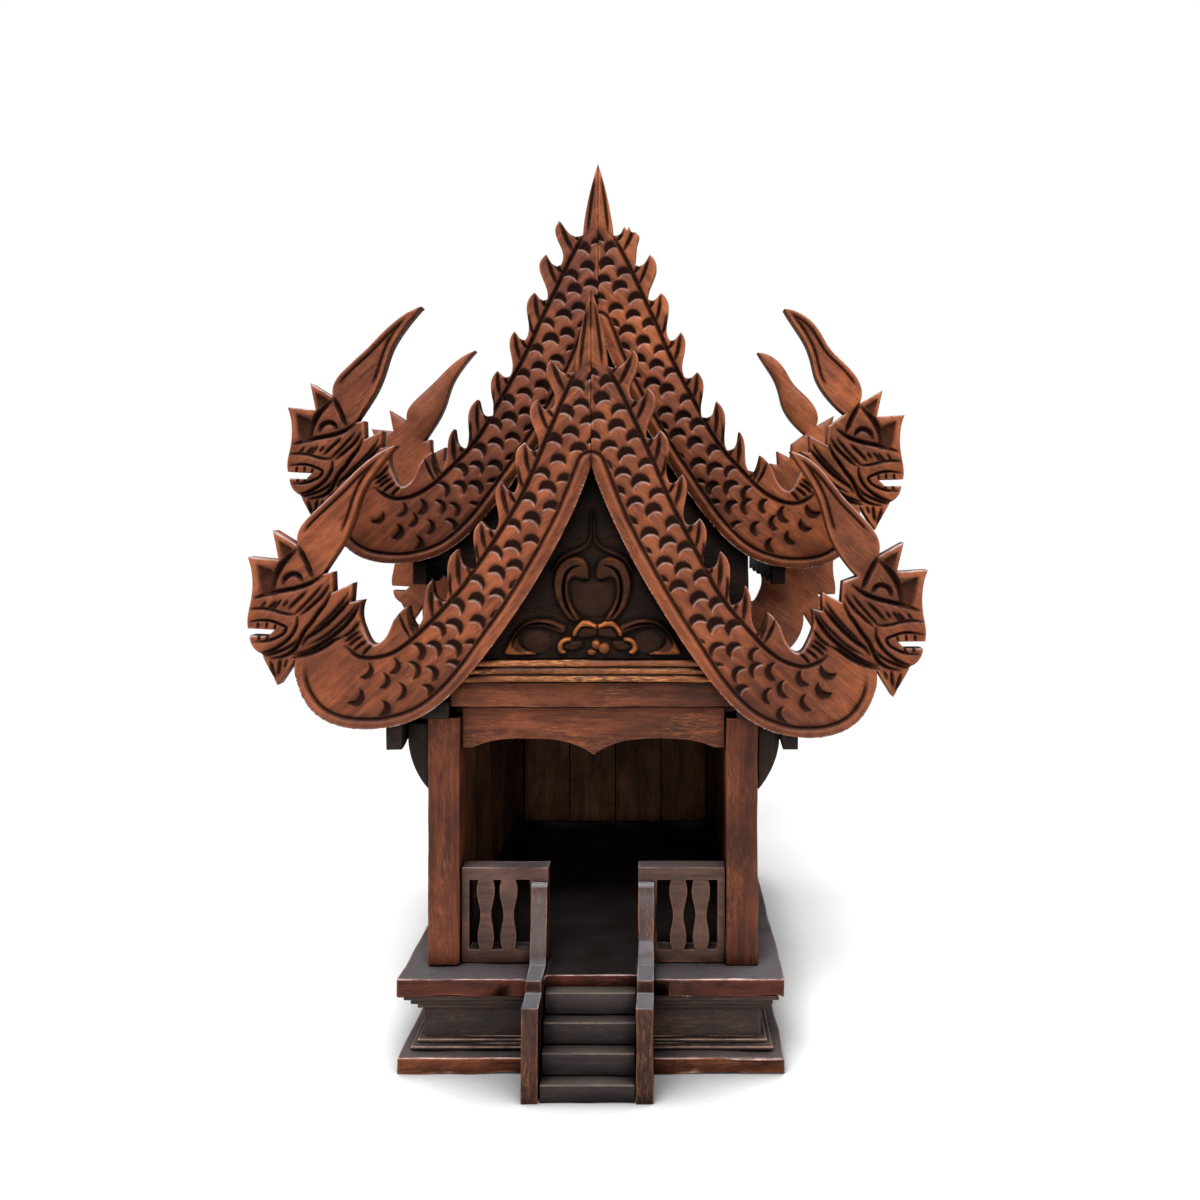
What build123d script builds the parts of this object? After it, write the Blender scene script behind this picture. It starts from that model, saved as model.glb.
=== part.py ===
from build123d import *
import math
import os

# Spirit house in stained teak, all sizes in millimetres.
# Origin: centre of the plinth's underside.  +X right, +Y back, +Z up.  The stairs face -Y.

# ---------------------------------------------------------------- stock
BOARD = 12.0            # sawn boards
STOCK = 23.5            # square post stock
PLANK = 9.0             # wall planks
PANEL = 8.0             # pediments and step boards

# ---------------------------------------------------------------- plinth and deck
DECK_HALF_X = 135.0
DECK_HALF_Y = 166.0
FOOT_HEIGHT = 12.0
BASE_MOULDING = 6.0     # two beads above the foot slab
WAIST_HEIGHT = 20.5
CAP_MOULDING = 14.5     # three beads under the deck
DECK_THICK = 13.6
WAIST_SETBACK = 15.3    # waist face behind the deck edge
BEAD_STEP = 3.8         # how far one bead stands in front of the next

# ---------------------------------------------------------------- frame and walls
POST_SETBACK = 17.0     # post face behind the deck edge
POST_HEIGHT = 176.4
PLATE_LAP = 6.0         # the side plates stand out over the posts
PLATE_WIDTH = 22.0
WALL_SETBACK = 6.0      # wall face behind the post face
WALL_GAP = 2.5          # open gap between side planks
REAR_GAP = 0.6
SIDE_PLANKS = 4
REAR_PLANKS = 4

# ---------------------------------------------------------------- front
BEAM_GAP = 7.0          # from the post tops up to the beam
BEAM_HEIGHT = 18.7
CORNICE_HEIGHT = 16.3
CORNICE_BEADS = 3
VALANCE_CORNER = 30.0   # all three measured down from the beam
VALANCE_ARCH = 23.5
VALANCE_TIP = 35.5
VALANCE_SETBACK = 5.0
RAIL_HEIGHT = 68.4      # balustrade above the deck
RAIL_SETBACK = 4.0      # balustrade face behind the post face
RAIL_FOOT = 9.6         # solid rail below the balusters
RAIL_HEAD = 9.3         # solid rail above them
WINDOW_POST = 5.9       # straight edge of the opening, from the post
WINDOW_STILE = 1.8      # and from the stringer
BALUSTERS = (0.27, 0.65)                        # their middles, as parts of the opening from the post
BALUSTER_HALF = (4.0, 6.0, 4.3, 6.5, 5.0)       # half widths from foot to head

# ---------------------------------------------------------------- stairs
STAIR_OPEN = 32.0       # half the clear width between the stringers
STAIR_REACH = 29.0      # how far the stairs stand in front of the deck
STEP_COUNT = 4
FIRST_RISE = 12.4
LAST_RISE = 7.4         # from the top tread up to the deck
TOP_RUN = 3.8           # from the top tread's nosing back to the deck edge
STAIR_RECESS = 6.0      # how far the top tread runs into the deck
STRINGER_NOSE = 1.0     # the stringers stand in front of the lowest tread
STRINGER_LEDGE = 18.0
STRINGER_BELOW = 3.3    # low ledge under the deck's surface
STRINGER_ABOVE = 5.4    # high ledge over it
STILE_FOOT = 8.0        # sloping stile starts this far behind the deck edge
STILE_BELOW = 9.5       # its rounded head, below the balustrade's top
STILE_HEAD = 4.0        # thickness at the head

# ---------------------------------------------------------------- roofs
EAVE_OVERHANG = 28.0    # outer face of the fascias beyond the posts
EAVE_BELOW = 5.0        # roof surface at the eave, below the post tops
ROOF_FALL = 234.0       # from the ridge down to the eave
ROOF_SAG = 5.0          # hollow of the slope below a straight line
ROOF_THICK = 7.0
ROOF_CLEAR = 0.5
FASCIA_HANG = 17.0      # fascia below the eave
LOBE_PITCH = 34.0
LOBE_DEPTH = 4.0
TIER_RISE = 111.0       # the upper roof is the lower roof raised by this
TIER_SETBACK = 64.0     # upper gable behind the lower gable
STEP_WALL_SETBACK = 1.0     # wall between the two roofs, behind the post face
BRACKET_DROP = 5.0
BRACKET_HEIGHT = 49.0
BRACKET_SETBACK = 6.0

# ---------------------------------------------------------------- derived places
WAIST_HALF_X = DECK_HALF_X - WAIST_SETBACK
WAIST_HALF_Y = DECK_HALF_Y - WAIST_SETBACK
WAIST_LOW = FOOT_HEIGHT + BASE_MOULDING
WAIST_TOP = WAIST_LOW + WAIST_HEIGHT
DECK_LOW = WAIST_TOP + CAP_MOULDING
DECK_TOP = DECK_LOW + DECK_THICK
POST_OUT_X = DECK_HALF_X - POST_SETBACK
POST_OUT_Y = DECK_HALF_Y - POST_SETBACK
POST_IN_X = POST_OUT_X - STOCK
POST_IN_Y = POST_OUT_Y - STOCK
POST_TOP = DECK_TOP + POST_HEIGHT
BEAM_LOW = POST_TOP + BEAM_GAP
BEAM_TOP = BEAM_LOW + BEAM_HEIGHT
CORNICE_TOP = BEAM_TOP + CORNICE_HEIGHT
RAIL_TOP = DECK_TOP + RAIL_HEIGHT
STRINGER_OUT_X = STAIR_OPEN + BOARD
EAVE_X = POST_OUT_X + EAVE_OVERHANG
FASCIA_IN_X = EAVE_X - BOARD
EAVE_Z = POST_TOP - EAVE_BELOW
RIDGE_Z = EAVE_Z + ROOF_FALL
LOWER_HALF_Y = DECK_HALF_Y
UPPER_HALF_Y = LOWER_HALF_Y - TIER_SETBACK
HALF_Y = {"lower": LOWER_HALF_Y, "upper": UPPER_HALF_Y}
RISE = {"lower": 0.0, "upper": TIER_RISE}

# the slope is one circular arc from the ridge to the eave
ROOF_CHORD = math.hypot(EAVE_X, ROOF_FALL)
ROOF_RADIUS = ROOF_CHORD ** 2 / (8 * ROOF_SAG) + ROOF_SAG / 2
ROOF_CENTRE_X = EAVE_X / 2 + (ROOF_RADIUS - ROOF_SAG) * ROOF_FALL / ROOF_CHORD
ROOF_CENTRE_Z = (RIDGE_Z + EAVE_Z) / 2 + (ROOF_RADIUS - ROOF_SAG) * EAVE_X / ROOF_CHORD
ROOF_DROP = ROOF_THICK * ROOF_CHORD / EAVE_X      # roof thickness measured straight down

os.makedirs("parts", exist_ok=True)


# ---------------------------------------------------------------- helpers
def save(name, *solids):
    """Writes one node; its solids don't touch one another."""
    shape = solids[0] if len(solids) == 1 else Compound(children=list(solids))
    export_step(shape, "parts/" + name + ".step")


def block(x0, x1, y0, y1, z0, z1):
    size = (abs(x1 - x0), abs(y1 - y0), abs(z1 - z0))
    middle = ((x0 + x1) / 2, (y0 + y1) / 2, (z0 + z1) / 2)
    return Pos(*middle) * Box(*size)


def one(shape):
    """The single solid of a boolean result."""
    solids = shape.solids()
    assert len(solids) == 1, len(solids)
    return solids[0]


def to_left(shape):
    return mirror(shape, about=Plane.YZ)


def to_rear(shape):
    return mirror(shape, about=Plane.XZ)


def save_pair(name, *solids):
    """A right-hand node and its mirror image."""
    save(name + "_right", *solids)
    save(name + "_left", *[to_left(solid) for solid in solids])


def save_both(name, *solids):
    """One node that holds a right-hand piece and its mirror image."""
    save(name, *solids, *[to_left(solid) for solid in solids])


def closed(*lines):
    """The flat face inside a closed run of lines, arcs and splines."""
    return make_face([edge for line in lines for edge in line.edges()])


def facing_front(face, y_front, thickness):
    """A flat outline in X and Z, standing with its front at y_front and going back."""
    standing = Plane(origin=(0, y_front, 0), x_dir=(1, 0, 0), z_dir=(0, -1, 0)) * face
    return extrude(standing, amount=-thickness)


def facing_side(face, x_near, thickness):
    """A flat outline in Y and Z, standing with its near face at x_near and going outwards."""
    standing = Plane(origin=(x_near, 0, 0), x_dir=(0, 1, 0), z_dir=(1, 0, 0)) * face
    return extrude(standing, amount=thickness)


# ---------------------------------------------------------------- plinth
def ring(stand_out, z0, z1, round_edge):
    """A hollow frame around the waist, its face this far in front of the waist's."""
    half_x, half_y = WAIST_HALF_X + stand_out, WAIST_HALF_Y + stand_out
    outer = block(-half_x, half_x, -half_y, half_y, z0, z1)
    outer = fillet(outer.edges().filter_by(Axis.Z, reverse=True), round_edge)
    inner_x, inner_y = WAIST_HALF_X - BOARD, WAIST_HALF_Y - BOARD
    return outer - block(-inner_x, inner_x, -inner_y, inner_y, z0 - 1, z1 + 1)


foot = block(-DECK_HALF_X, DECK_HALF_X, -DECK_HALF_Y, DECK_HALF_Y, 0, FOOT_HEIGHT)
foot = chamfer(foot.edges().group_by(Axis.Z)[-1], 1.0)
save("plinth_foot", foot)

base_bead = BASE_MOULDING / 2
cap_bead = CAP_MOULDING / 3
plinth = ring(0, WAIST_LOW, WAIST_TOP, 0.5)
for row in range(2):
    low = FOOT_HEIGHT + row * base_bead
    plinth += ring((2 - row) * BEAD_STEP, low, low + base_bead, base_bead * 0.4)
for row in range(3):
    low = WAIST_TOP + row * cap_bead
    plinth += ring((row + 1) * BEAD_STEP, low, low + cap_bead, cap_bead * 0.4)
save("plinth_body", one(plinth))

recess_y = -DECK_HALF_Y + STAIR_RECESS
deck = block(-DECK_HALF_X, DECK_HALF_X, -DECK_HALF_Y, DECK_HALF_Y, DECK_LOW, DECK_TOP)
deck = fillet(deck.edges().filter_by(Axis.Z, reverse=True), 1.5)
deck -= block(-STAIR_OPEN, STAIR_OPEN, -DECK_HALF_Y - 1, recess_y, DECK_LOW - 1, DECK_TOP + 1)
save("deck", one(deck))

# ---------------------------------------------------------------- stairs
stair_front = -DECK_HALF_Y - STAIR_REACH
step_rise = (DECK_TOP - LAST_RISE - FIRST_RISE) / (STEP_COUNT - 1)
step_run = (STAIR_REACH - TOP_RUN) / (STEP_COUNT - 1)
for step in range(STEP_COUNT):
    nosing = stair_front + step * step_run
    top = FIRST_RISE + step * step_rise
    low = 0 if step == 0 else top - step_rise
    tread = block(-STAIR_OPEN, STAIR_OPEN, nosing, -DECK_HALF_Y, low, top)
    if step == STEP_COUNT - 1:
        tread += block(-STAIR_OPEN, STAIR_OPEN, nosing, recess_y, DECK_LOW, top)
    save("stair_tread_%d" % (step + 1), one(tread))

# each stringer steps up from the floor to the deck; a sloping stile leans from it on the balustrade
nose = stair_front - STRINGER_NOSE
ledge = nose + STRINGER_LEDGE
low_ledge = DECK_TOP - STRINGER_BELOW
high_ledge = DECK_TOP + STRINGER_ABOVE
stile_foot = -DECK_HALF_Y + STILE_FOOT
rail_y = -POST_OUT_Y + RAIL_SETBACK
head_y = rail_y - STILE_HEAD
head_z = RAIL_TOP - STILE_BELOW
head_round = (rail_y - STILE_HEAD * math.sqrt(0.5), head_z - STILE_HEAD * (1 - math.sqrt(0.5)))
rise = Polyline((nose, 0), (nose, low_ledge), (ledge, low_ledge), (ledge, high_ledge), (stile_foot, high_ledge),
                (head_y, head_z - STILE_HEAD))
head = ThreePointArc(rise @ 1, head_round, (rail_y, head_z))
fall = Polyline(head @ 1, (rail_y, DECK_TOP), (-DECK_HALF_Y, DECK_TOP), (-DECK_HALF_Y, 0), (nose, 0))
save_pair("stair_stringer", one(facing_side(closed(rise, head, fall), STAIR_OPEN, BOARD)))

# ---------------------------------------------------------------- posts
for side, sx in (("left", -1), ("right", 1)):
    for end, sy in (("front", -1), ("rear", 1)):
        post = block(sx * POST_IN_X, sx * POST_OUT_X, sy * POST_IN_Y, sy * POST_OUT_Y, DECK_TOP, POST_TOP)
        post = chamfer(post.edges().filter_by(Axis.Z), 1.0)
        save("post_%s_%s" % (end, side), one(post))

# ---------------------------------------------------------------- balustrades
window_low = DECK_TOP + RAIL_FOOT
window_high = RAIL_TOP - RAIL_HEAD
window_in = STRINGER_OUT_X + WINDOW_STILE
window_out = POST_IN_X - WINDOW_POST


def baluster(x):
    """A flat sawn baluster, bellied above and below its waist, let into both rails."""
    heights = [window_low - 1 + (window_high - window_low + 2) * index / 4 for index in range(5)]
    right = Spline(*[(x + half, z) for half, z in zip(BALUSTER_HALF, heights)])
    left = Spline(*[(x - half, z) for half, z in zip(BALUSTER_HALF, heights)])
    return facing_front(closed(right, Line(right @ 1, left @ 1), left, Line(left @ 0, right @ 0)), rail_y, BOARD)


panel = block(STAIR_OPEN, POST_IN_X, rail_y, rail_y + BOARD, DECK_TOP, RAIL_TOP)
panel -= block(window_in, window_out, rail_y - 1, rail_y + BOARD + 1, window_low, window_high)
for share in BALUSTERS:
    panel += baluster(window_out - (window_out - window_in) * share)
save_pair("balustrade", one(panel))


# ---------------------------------------------------------------- walls
def plank_edges(start, end, count, gap):
    """Both edges of each of these planks, laid edge to edge with open gaps between."""
    pitch = (end - start + gap) / count
    return [(start + index * pitch, start + (index + 1) * pitch - gap) for index in range(count)]


wall_x = POST_OUT_X - WALL_SETBACK
planks = [block(wall_x - PLANK, wall_x, y0, y1, DECK_TOP, POST_TOP)
          for y0, y1 in plank_edges(-POST_IN_Y + WALL_GAP, POST_IN_Y - WALL_GAP, SIDE_PLANKS, WALL_GAP)]
save_pair("side_wall", *planks)

wall_y = POST_OUT_Y - WALL_SETBACK
planks = [block(x0, x1, wall_y - PLANK, wall_y, DECK_TOP, BEAM_LOW)
          for x0, x1 in plank_edges(-POST_IN_X, POST_IN_X, REAR_PLANKS, REAR_GAP)]
save("rear_wall", *planks)


# ---------------------------------------------------------------- the roof's curve
def slope_z(x, drop=0.0):
    """Height of the slope at x; drop lowers it from the roof's top surface."""
    return ROOF_CENTRE_Z - math.sqrt(ROOF_RADIUS ** 2 - (x - ROOF_CENTRE_X) ** 2) - drop


def slope_x(z, drop=0.0):
    """Where the slope, lowered by drop, is this high."""
    return ROOF_CENTRE_X - math.sqrt(ROOF_RADIUS ** 2 - (z + drop - ROOF_CENTRE_Z) ** 2)


def slope_arc(x0, x1, drop, rise, sign=1):
    """The slope between two places, on the right (sign 1) or the left (sign -1)."""
    return ThreePointArc(*[(sign * x, slope_z(x, drop) + rise) for x in (x0, (x0 + x1) / 2, x1)])


# ---------------------------------------------------------------- plates, beams, valance, cornice
plate_out = POST_OUT_X + PLATE_LAP
plate_in = plate_out - PLATE_WIDTH
plate_top = slope_z(plate_out, ROOF_DROP) - ROOF_CLEAR
plate = block(plate_in, plate_out, -POST_OUT_Y - 2, POST_OUT_Y + 2, POST_TOP, plate_top)
save_both("side_plates", one(chamfer(plate.edges().filter_by(Axis.Y), 1.0)))

beam = block(-plate_in, plate_in, -POST_OUT_Y + 1, -POST_IN_Y, BEAM_LOW, BEAM_TOP)
beam = one(chamfer(beam.edges().filter_by(Axis.X), 1.0))
save("front_beam", beam)
save("rear_beam", to_rear(beam))

cornice_half = slope_x(CORNICE_TOP, ROOF_DROP) - ROOF_CLEAR
cornice_y = -POST_OUT_Y - 2
bead_pitch = CORNICE_HEIGHT / CORNICE_BEADS
cornice = block(-cornice_half, cornice_half, cornice_y, -POST_IN_Y - 6, BEAM_TOP, CORNICE_TOP)
for row in range(CORNICE_BEADS):
    middle = (0, cornice_y, BEAM_TOP + bead_pitch * (row + 0.5))
    cornice += Pos(*middle) * Rot(0, 90, 0) * Cylinder(bead_pitch / 2, 2 * cornice_half)
cornice = one(cornice)
save("front_cornice", cornice)
save("rear_cornice", to_rear(cornice))


def valance_arch(sign):
    """Half of the cusped edge, from the corner by the post to the drop in the middle."""
    corner_x = POST_IN_X - 8
    return Spline((sign * corner_x, BEAM_LOW - VALANCE_CORNER),
                  (sign * (corner_x - 14), BEAM_LOW - VALANCE_ARCH - 2),
                  (sign * (corner_x / 2 + 2), BEAM_LOW - VALANCE_ARCH),
                  (sign * 18, BEAM_LOW - VALANCE_ARCH - 3),
                  (0, BEAM_LOW - VALANCE_TIP))


right_arch = valance_arch(1)
left_arch = valance_arch(-1)
corner_z = BEAM_LOW - VALANCE_CORNER
rim = Polyline(left_arch @ 0, (-POST_IN_X, corner_z), (-POST_IN_X, BEAM_LOW), (POST_IN_X, BEAM_LOW),
               (POST_IN_X, corner_z), right_arch @ 0)
valance = facing_front(closed(right_arch, left_arch, rim), -POST_OUT_Y + VALANCE_SETBACK, PLANK)
save("front_valance", one(valance))


# ---------------------------------------------------------------- roofs, fascias, gables
def roof_slope(tier):
    top = slope_arc(0, FASCIA_IN_X, 0, RISE[tier])
    low = slope_arc(FASCIA_IN_X, 0, ROOF_DROP, RISE[tier])
    face = closed(top, Line(top @ 1, low @ 0), low, Line(low @ 1, top @ 0))
    half_y = HALF_Y[tier] - BOARD
    return facing_front(face, -half_y, 2 * half_y)


def fascia(tier):
    """Board along the eave; its lower edge is a row of shallow lobes, cut through a lobe at each end."""
    half_y = HALF_Y[tier] - BOARD
    top = slope_z(FASCIA_IN_X) + RISE[tier]
    z0 = EAVE_Z - FASCIA_HANG + RISE[tier]
    z1 = z0 + LOBE_DEPTH
    count = round(2 * half_y / LOBE_PITCH)
    pitch = 2 * half_y / count
    reach = half_y + pitch / 2
    starts = [-reach + index * pitch for index in range(count + 1)]
    lobes = [ThreePointArc((y, z1), (y + pitch / 2, z0), (y + pitch, z1)) for y in starts]
    rim = Polyline((reach, z1), (reach, top), (-reach, top), (-reach, z1))
    board = facing_side(closed(*lobes, rim), FASCIA_IN_X, BOARD)
    return board & block(0, 2 * EAVE_X, -half_y, half_y, z0 - 1, top + 1)


for tier in ("lower", "upper"):
    save_pair("roof_" + tier, one(roof_slope(tier)))
    save_both("fascias_" + tier, one(fascia(tier)))

# the pediment closes the lower gable over the cornice
right_rake = slope_arc(cornice_half, 0, ROOF_DROP, 0)
left_rake = slope_arc(0, cornice_half, ROOF_DROP, 0, sign=-1)
rim = Polyline(left_rake @ 1, (-cornice_half, CORNICE_TOP), (cornice_half, CORNICE_TOP), right_rake @ 0)
pediment = one(facing_front(closed(right_rake, left_rake, rim), -LOWER_HALF_Y + BOARD, PANEL))
save("pediment_front", pediment)
save("pediment_rear", to_rear(pediment))

# the upper gable fills the step between the lower roof's top and the upper roof's underside
step_x = POST_OUT_X - STEP_WALL_SETBACK
over_right = slope_arc(step_x, 0, ROOF_DROP, TIER_RISE)
over_left = slope_arc(0, step_x, ROOF_DROP, TIER_RISE, sign=-1)
under_left = slope_arc(step_x, 0, 0, 0, sign=-1)
under_right = slope_arc(0, step_x, 0, 0)
face = closed(over_right, over_left, Line(over_left @ 1, under_left @ 0), under_left, under_right,
              Line(under_right @ 1, over_right @ 0))
gable = one(facing_front(face, -UPPER_HALF_Y + BOARD, PANEL))
save("upper_gable_front", gable)
save("upper_gable_rear", to_rear(gable))

# side boards of that step
under = slope_arc(step_x - PANEL, step_x, 0, 0)
over = slope_arc(step_x, step_x - PANEL, ROOF_DROP, TIER_RISE)
face = closed(under, Line(under @ 1, over @ 0), over, Line(over @ 1, under @ 0))
step_half = UPPER_HALF_Y - BOARD - PANEL
save_both("step_boards", one(facing_front(face, -step_half, 2 * step_half)))

# ---------------------------------------------------------------- eave brackets
bracket_top = POST_TOP - BRACKET_DROP
bracket_low = bracket_top - BRACKET_HEIGHT
bracket_reach = FASCIA_IN_X - POST_OUT_X
curve = ThreePointArc((FASCIA_IN_X, bracket_top - BRACKET_HEIGHT * 0.3),
                      (FASCIA_IN_X - bracket_reach * 0.3, bracket_top - BRACKET_HEIGHT * 0.67),
                      (POST_OUT_X, bracket_low))
rim = Polyline(curve @ 1, (POST_OUT_X, bracket_top), (FASCIA_IN_X, bracket_top), curve @ 0)
bracket = one(facing_front(closed(curve, rim), -POST_OUT_Y + BRACKET_SETBACK, BOARD))
save_both("eave_brackets", bracket, to_rear(bracket))

# ---------------------------------------------------------------- naga boards
# One template for all eight boards, drawn against the lower roof: u runs outwards from the ridge
# seam and z runs up.  It stretches with the roof it hangs on.
TEMPLATE_EAVE = 146.0
TEMPLATE_FALL = 234.0
TEMPLATE_RIDGE = 472.0
HANG = {"left": {"lower": 0.0, "upper": 0.0}, "right": {"lower": 0.038, "upper": 0.024}}    # right ones hang steeper
HANG_FULL_U = 150.0
CREST_LIFT = {"left": {"lower": 0.0, "upper": 9.0}, "right": {"lower": 9.0, "upper": 9.0}}
CREST_LIFT_U = 95.0     # the crest's lift fades out towards this, and towards the seam
CREST_LEAN = 0.3        # sideways share of that lift
HORN_SPLAY = {"left": {"lower": 0.0, "upper": 0.0}, "right": {"lower": 0.5, "upper": 1.0}}
APEX_UNDER = 422.0
FINIAL_TIP = 544.0
FINIAL_BASE = 497.0
FINIAL_HALF = 10.2
FINIAL_WAIST = 0.6      # its half width halfway up, as a part of the base's

UNDER_EDGE = [(0, APEX_UNDER), (18, 379), (48.5, 326), (78, 285), (98, 262.5), (119, 247),
              (140, 240), (157, 238.6), (176, 241), (191, 248.6), (200.7, 261), (205, 273), (205, 288)]
BEARD = [(205, 288), (217.3, 269.6), (228.4, 291)]
JAW = [(228.4, 291), (235.6, 298.4), (236.7, 304)]
MOUTH = [(236.7, 304), (224, 303.5), (219.5, 308), (237.9, 309)]
SNOUT = [(237.9, 309), (238.3, 316), (236, 328), (235, 344.8), (238.1, 358.6)]
CROWN = [(238.1, 358.6), (216.7, 356.5), (220.6, 377), (203.4, 366.5)]
HORN_OUT = [(203.4, 366.5), (202, 378), (194, 388), (177, 404), (160, 421), (149, 429.6), (135.5, 436)]
HORN_OUT_SPLAYED = [(203.4, 366.5), (204.4, 377.6), (194.4, 393.7), (178.7, 409), (171.5, 420.7), (160, 432.5),
                    (143.6, 437.3)]
HORN_IN = [(135.5, 436), (149.5, 419), (160, 401), (164.5, 387), (171, 371), (181, 355), (186.5, 346.5)]
HORN_IN_SPLAYED = [(143.6, 437.3), (153.8, 422.3), (161.4, 410.2), (166.1, 397.6), (169.4, 385.6), (177.3, 372.4),
                   (192.2, 357.9)]
MANE = [(179.6, 348.2), (179, 333.8), (165.3, 340.5), (166.4, 327.2), (158.6, 328.5)]
NECK = [(158.6, 328.5), (160.4, 316.4), (156.9, 305.3), (151, 297.5), (145.1, 299.9), (139.4, 308.5), (137, 314.4)]
FLAME_TIPS = [(127.3, 324.1), (110.6, 341.9), (92.2, 364.1), (76.2, 383.2), (62.4, 411), (45.9, 437.9),
              (37.4, 467.8), (27.6, 495.4)]
FLAME_NOTCHES = [(120.9, 309.3), (101, 327.5), (80.5, 350), (65.7, 377.6), (53.3, 403), (36.5, 433.8),
                 (26.5, 462), (11, 487.5)]
FLAME_WAIST = [-0.5, 2.0, -0.4, -0.4, 1.0, 0.8, -0.6, 1.6]      # inside the chord, a quarter of the way up
FLAME_SWELL = [0.9, 1.2, 4.4, 4.0, 2.8, 4.2, 5.2, 3.2]          # outside it, two thirds of the way up
FLAME_HOLLOW = [1.5, 4.2, 4.4, 2.3, 1.6, 2.9, 3.6, 4.6]         # of the edge from the tip down to the notch
BROKEN_FLAME = [(27.8, 478), (29.5, 483.5), (26.5, 487), (23.6, 488), (22.2, 491.8), (20.6, 489.3), (18.8, 492.5)]


def place(point, side, tier, crest=False):
    """Carries a template point to its side and tier: turned about the ridge and raised, crests drawn up."""
    u, z = point
    turn = HANG[side][tier] * min(1.0, u / HANG_FULL_U)
    lift = CREST_LIFT[side][tier] * max(0.0, min(1.0, (CREST_LIFT_U - u) / 50, (u + 8) / 50)) if crest else 0.0
    out = u - turn * (TEMPLATE_RIDGE - z) + CREST_LEAN * lift * max(0.0, min(1.0, u / 20))
    up = z - turn * u + lift - TEMPLATE_RIDGE
    return (out * EAVE_X / TEMPLATE_EAVE, RIDGE_Z + RISE[tier] + up * ROOF_FALL / TEMPLATE_FALL)


def splay(points, splayed, share):
    return [(a[0] + (b[0] - a[0]) * share, a[1] + (b[1] - a[1]) * share) for a, b in zip(points, splayed)]


def beside(start, end, share, offset):
    """A point this share of the way along a chord, standing off to its right."""
    du, dz = end[0] - start[0], end[1] - start[1]
    off = offset / math.hypot(du, dz)
    return (start[0] + du * share + dz * off, start[1] + dz * share - du * off)


def naga_face(side, tier, broken=False):
    """The sawn outline of one board, from the ridge seam round the body, head and crest."""
    def at(points, crest=False):
        return [place(point, side, tier, crest) for point in points]

    share = HORN_SPLAY[side][tier]
    horn_in = splay(HORN_IN, HORN_IN_SPLAYED, share)
    edges = [Spline(*at(UNDER_EDGE))]
    edges.append(Polyline(*at(BEARD)))
    edges.append(Spline(*at(JAW)))
    edges.append(Polyline(*at(MOUTH)))
    edges.append(Spline(*at(SNOUT)))
    edges.append(Polyline(*at(CROWN)))
    edges.append(Spline(*at(splay(HORN_OUT, HORN_OUT_SPLAYED, share))))
    edges.append(Spline(*at(horn_in)))
    edges.append(Polyline(*at(horn_in[-1:] + MANE)))
    edges.append(Spline(*at(NECK)))
    start = NECK[-1]
    for index, (tip, notch) in enumerate(zip(FLAME_TIPS, FLAME_NOTCHES)):
        if broken and tip == FLAME_TIPS[-1]:
            edges.append(Polyline(*at([start] + BROKEN_FLAME, crest=True)))
            tip = BROKEN_FLAME[-1]
        else:
            waist = beside(start, tip, 0.25, -FLAME_WAIST[index])
            swell = beside(start, tip, 0.67, FLAME_SWELL[index])
            edges.append(Spline(*at([start, waist, swell, tip], crest=True)))
        hollow = min(FLAME_HOLLOW[index], 0.3 * math.dist(tip, notch))
        edges.append(Spline(*at([tip, beside(tip, notch, 0.3, -0.6 * hollow), beside(tip, notch, 0.62, -hollow),
                                 beside(tip, notch, 0.86, -0.7 * hollow), notch], crest=True)))
        start = notch
    shoulder = (FINIAL_HALF, FINIAL_BASE)
    edges.append(Line(*at([start, shoulder], crest=True)))
    waist = (FINIAL_HALF * FINIAL_WAIST, (FINIAL_BASE + FINIAL_TIP) / 2)
    edges.append(ThreePointArc(*at([shoulder, waist, (0, FINIAL_TIP)], crest=True)))
    edges.append(Line(edges[-1] @ 1, place((0, APEX_UNDER), side, tier)))
    return closed(*edges)


for tier in ("lower", "upper"):
    for side in ("right", "left"):
        board = one(facing_front(naga_face(side, tier), -HALF_Y[tier], BOARD))
        if side == "left":
            board = to_left(board)
        save("naga_rear_%s_%s" % (tier, side), to_rear(board))
        # the top flame of the right-hand upper board at the front has snapped off
        if side == "right" and tier == "upper":
            board = one(facing_front(naga_face(side, tier, broken=True), -HALF_Y[tier], BOARD))
        save("naga_front_%s_%s" % (tier, side), board)
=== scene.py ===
import math
import random

import bmesh
import bpy
import numpy as np
from mathutils import Matrix, Vector, noise
from mathutils.geometry import delaunay_2d_cdt
from mathutils.kdtree import KDTree


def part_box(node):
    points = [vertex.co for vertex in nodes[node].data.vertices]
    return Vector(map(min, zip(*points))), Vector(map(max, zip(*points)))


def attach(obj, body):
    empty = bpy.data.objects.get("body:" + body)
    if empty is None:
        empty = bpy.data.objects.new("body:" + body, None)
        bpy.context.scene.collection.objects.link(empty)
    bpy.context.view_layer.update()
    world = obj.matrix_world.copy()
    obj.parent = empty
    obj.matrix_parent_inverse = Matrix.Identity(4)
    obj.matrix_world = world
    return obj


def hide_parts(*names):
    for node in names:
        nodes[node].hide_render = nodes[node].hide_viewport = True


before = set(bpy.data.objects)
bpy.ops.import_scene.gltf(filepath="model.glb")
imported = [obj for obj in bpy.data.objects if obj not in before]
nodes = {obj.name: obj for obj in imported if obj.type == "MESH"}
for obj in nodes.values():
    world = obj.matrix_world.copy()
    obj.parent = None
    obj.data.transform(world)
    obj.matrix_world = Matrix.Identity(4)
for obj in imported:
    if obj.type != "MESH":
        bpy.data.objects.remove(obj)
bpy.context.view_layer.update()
MM = 0.001


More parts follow.
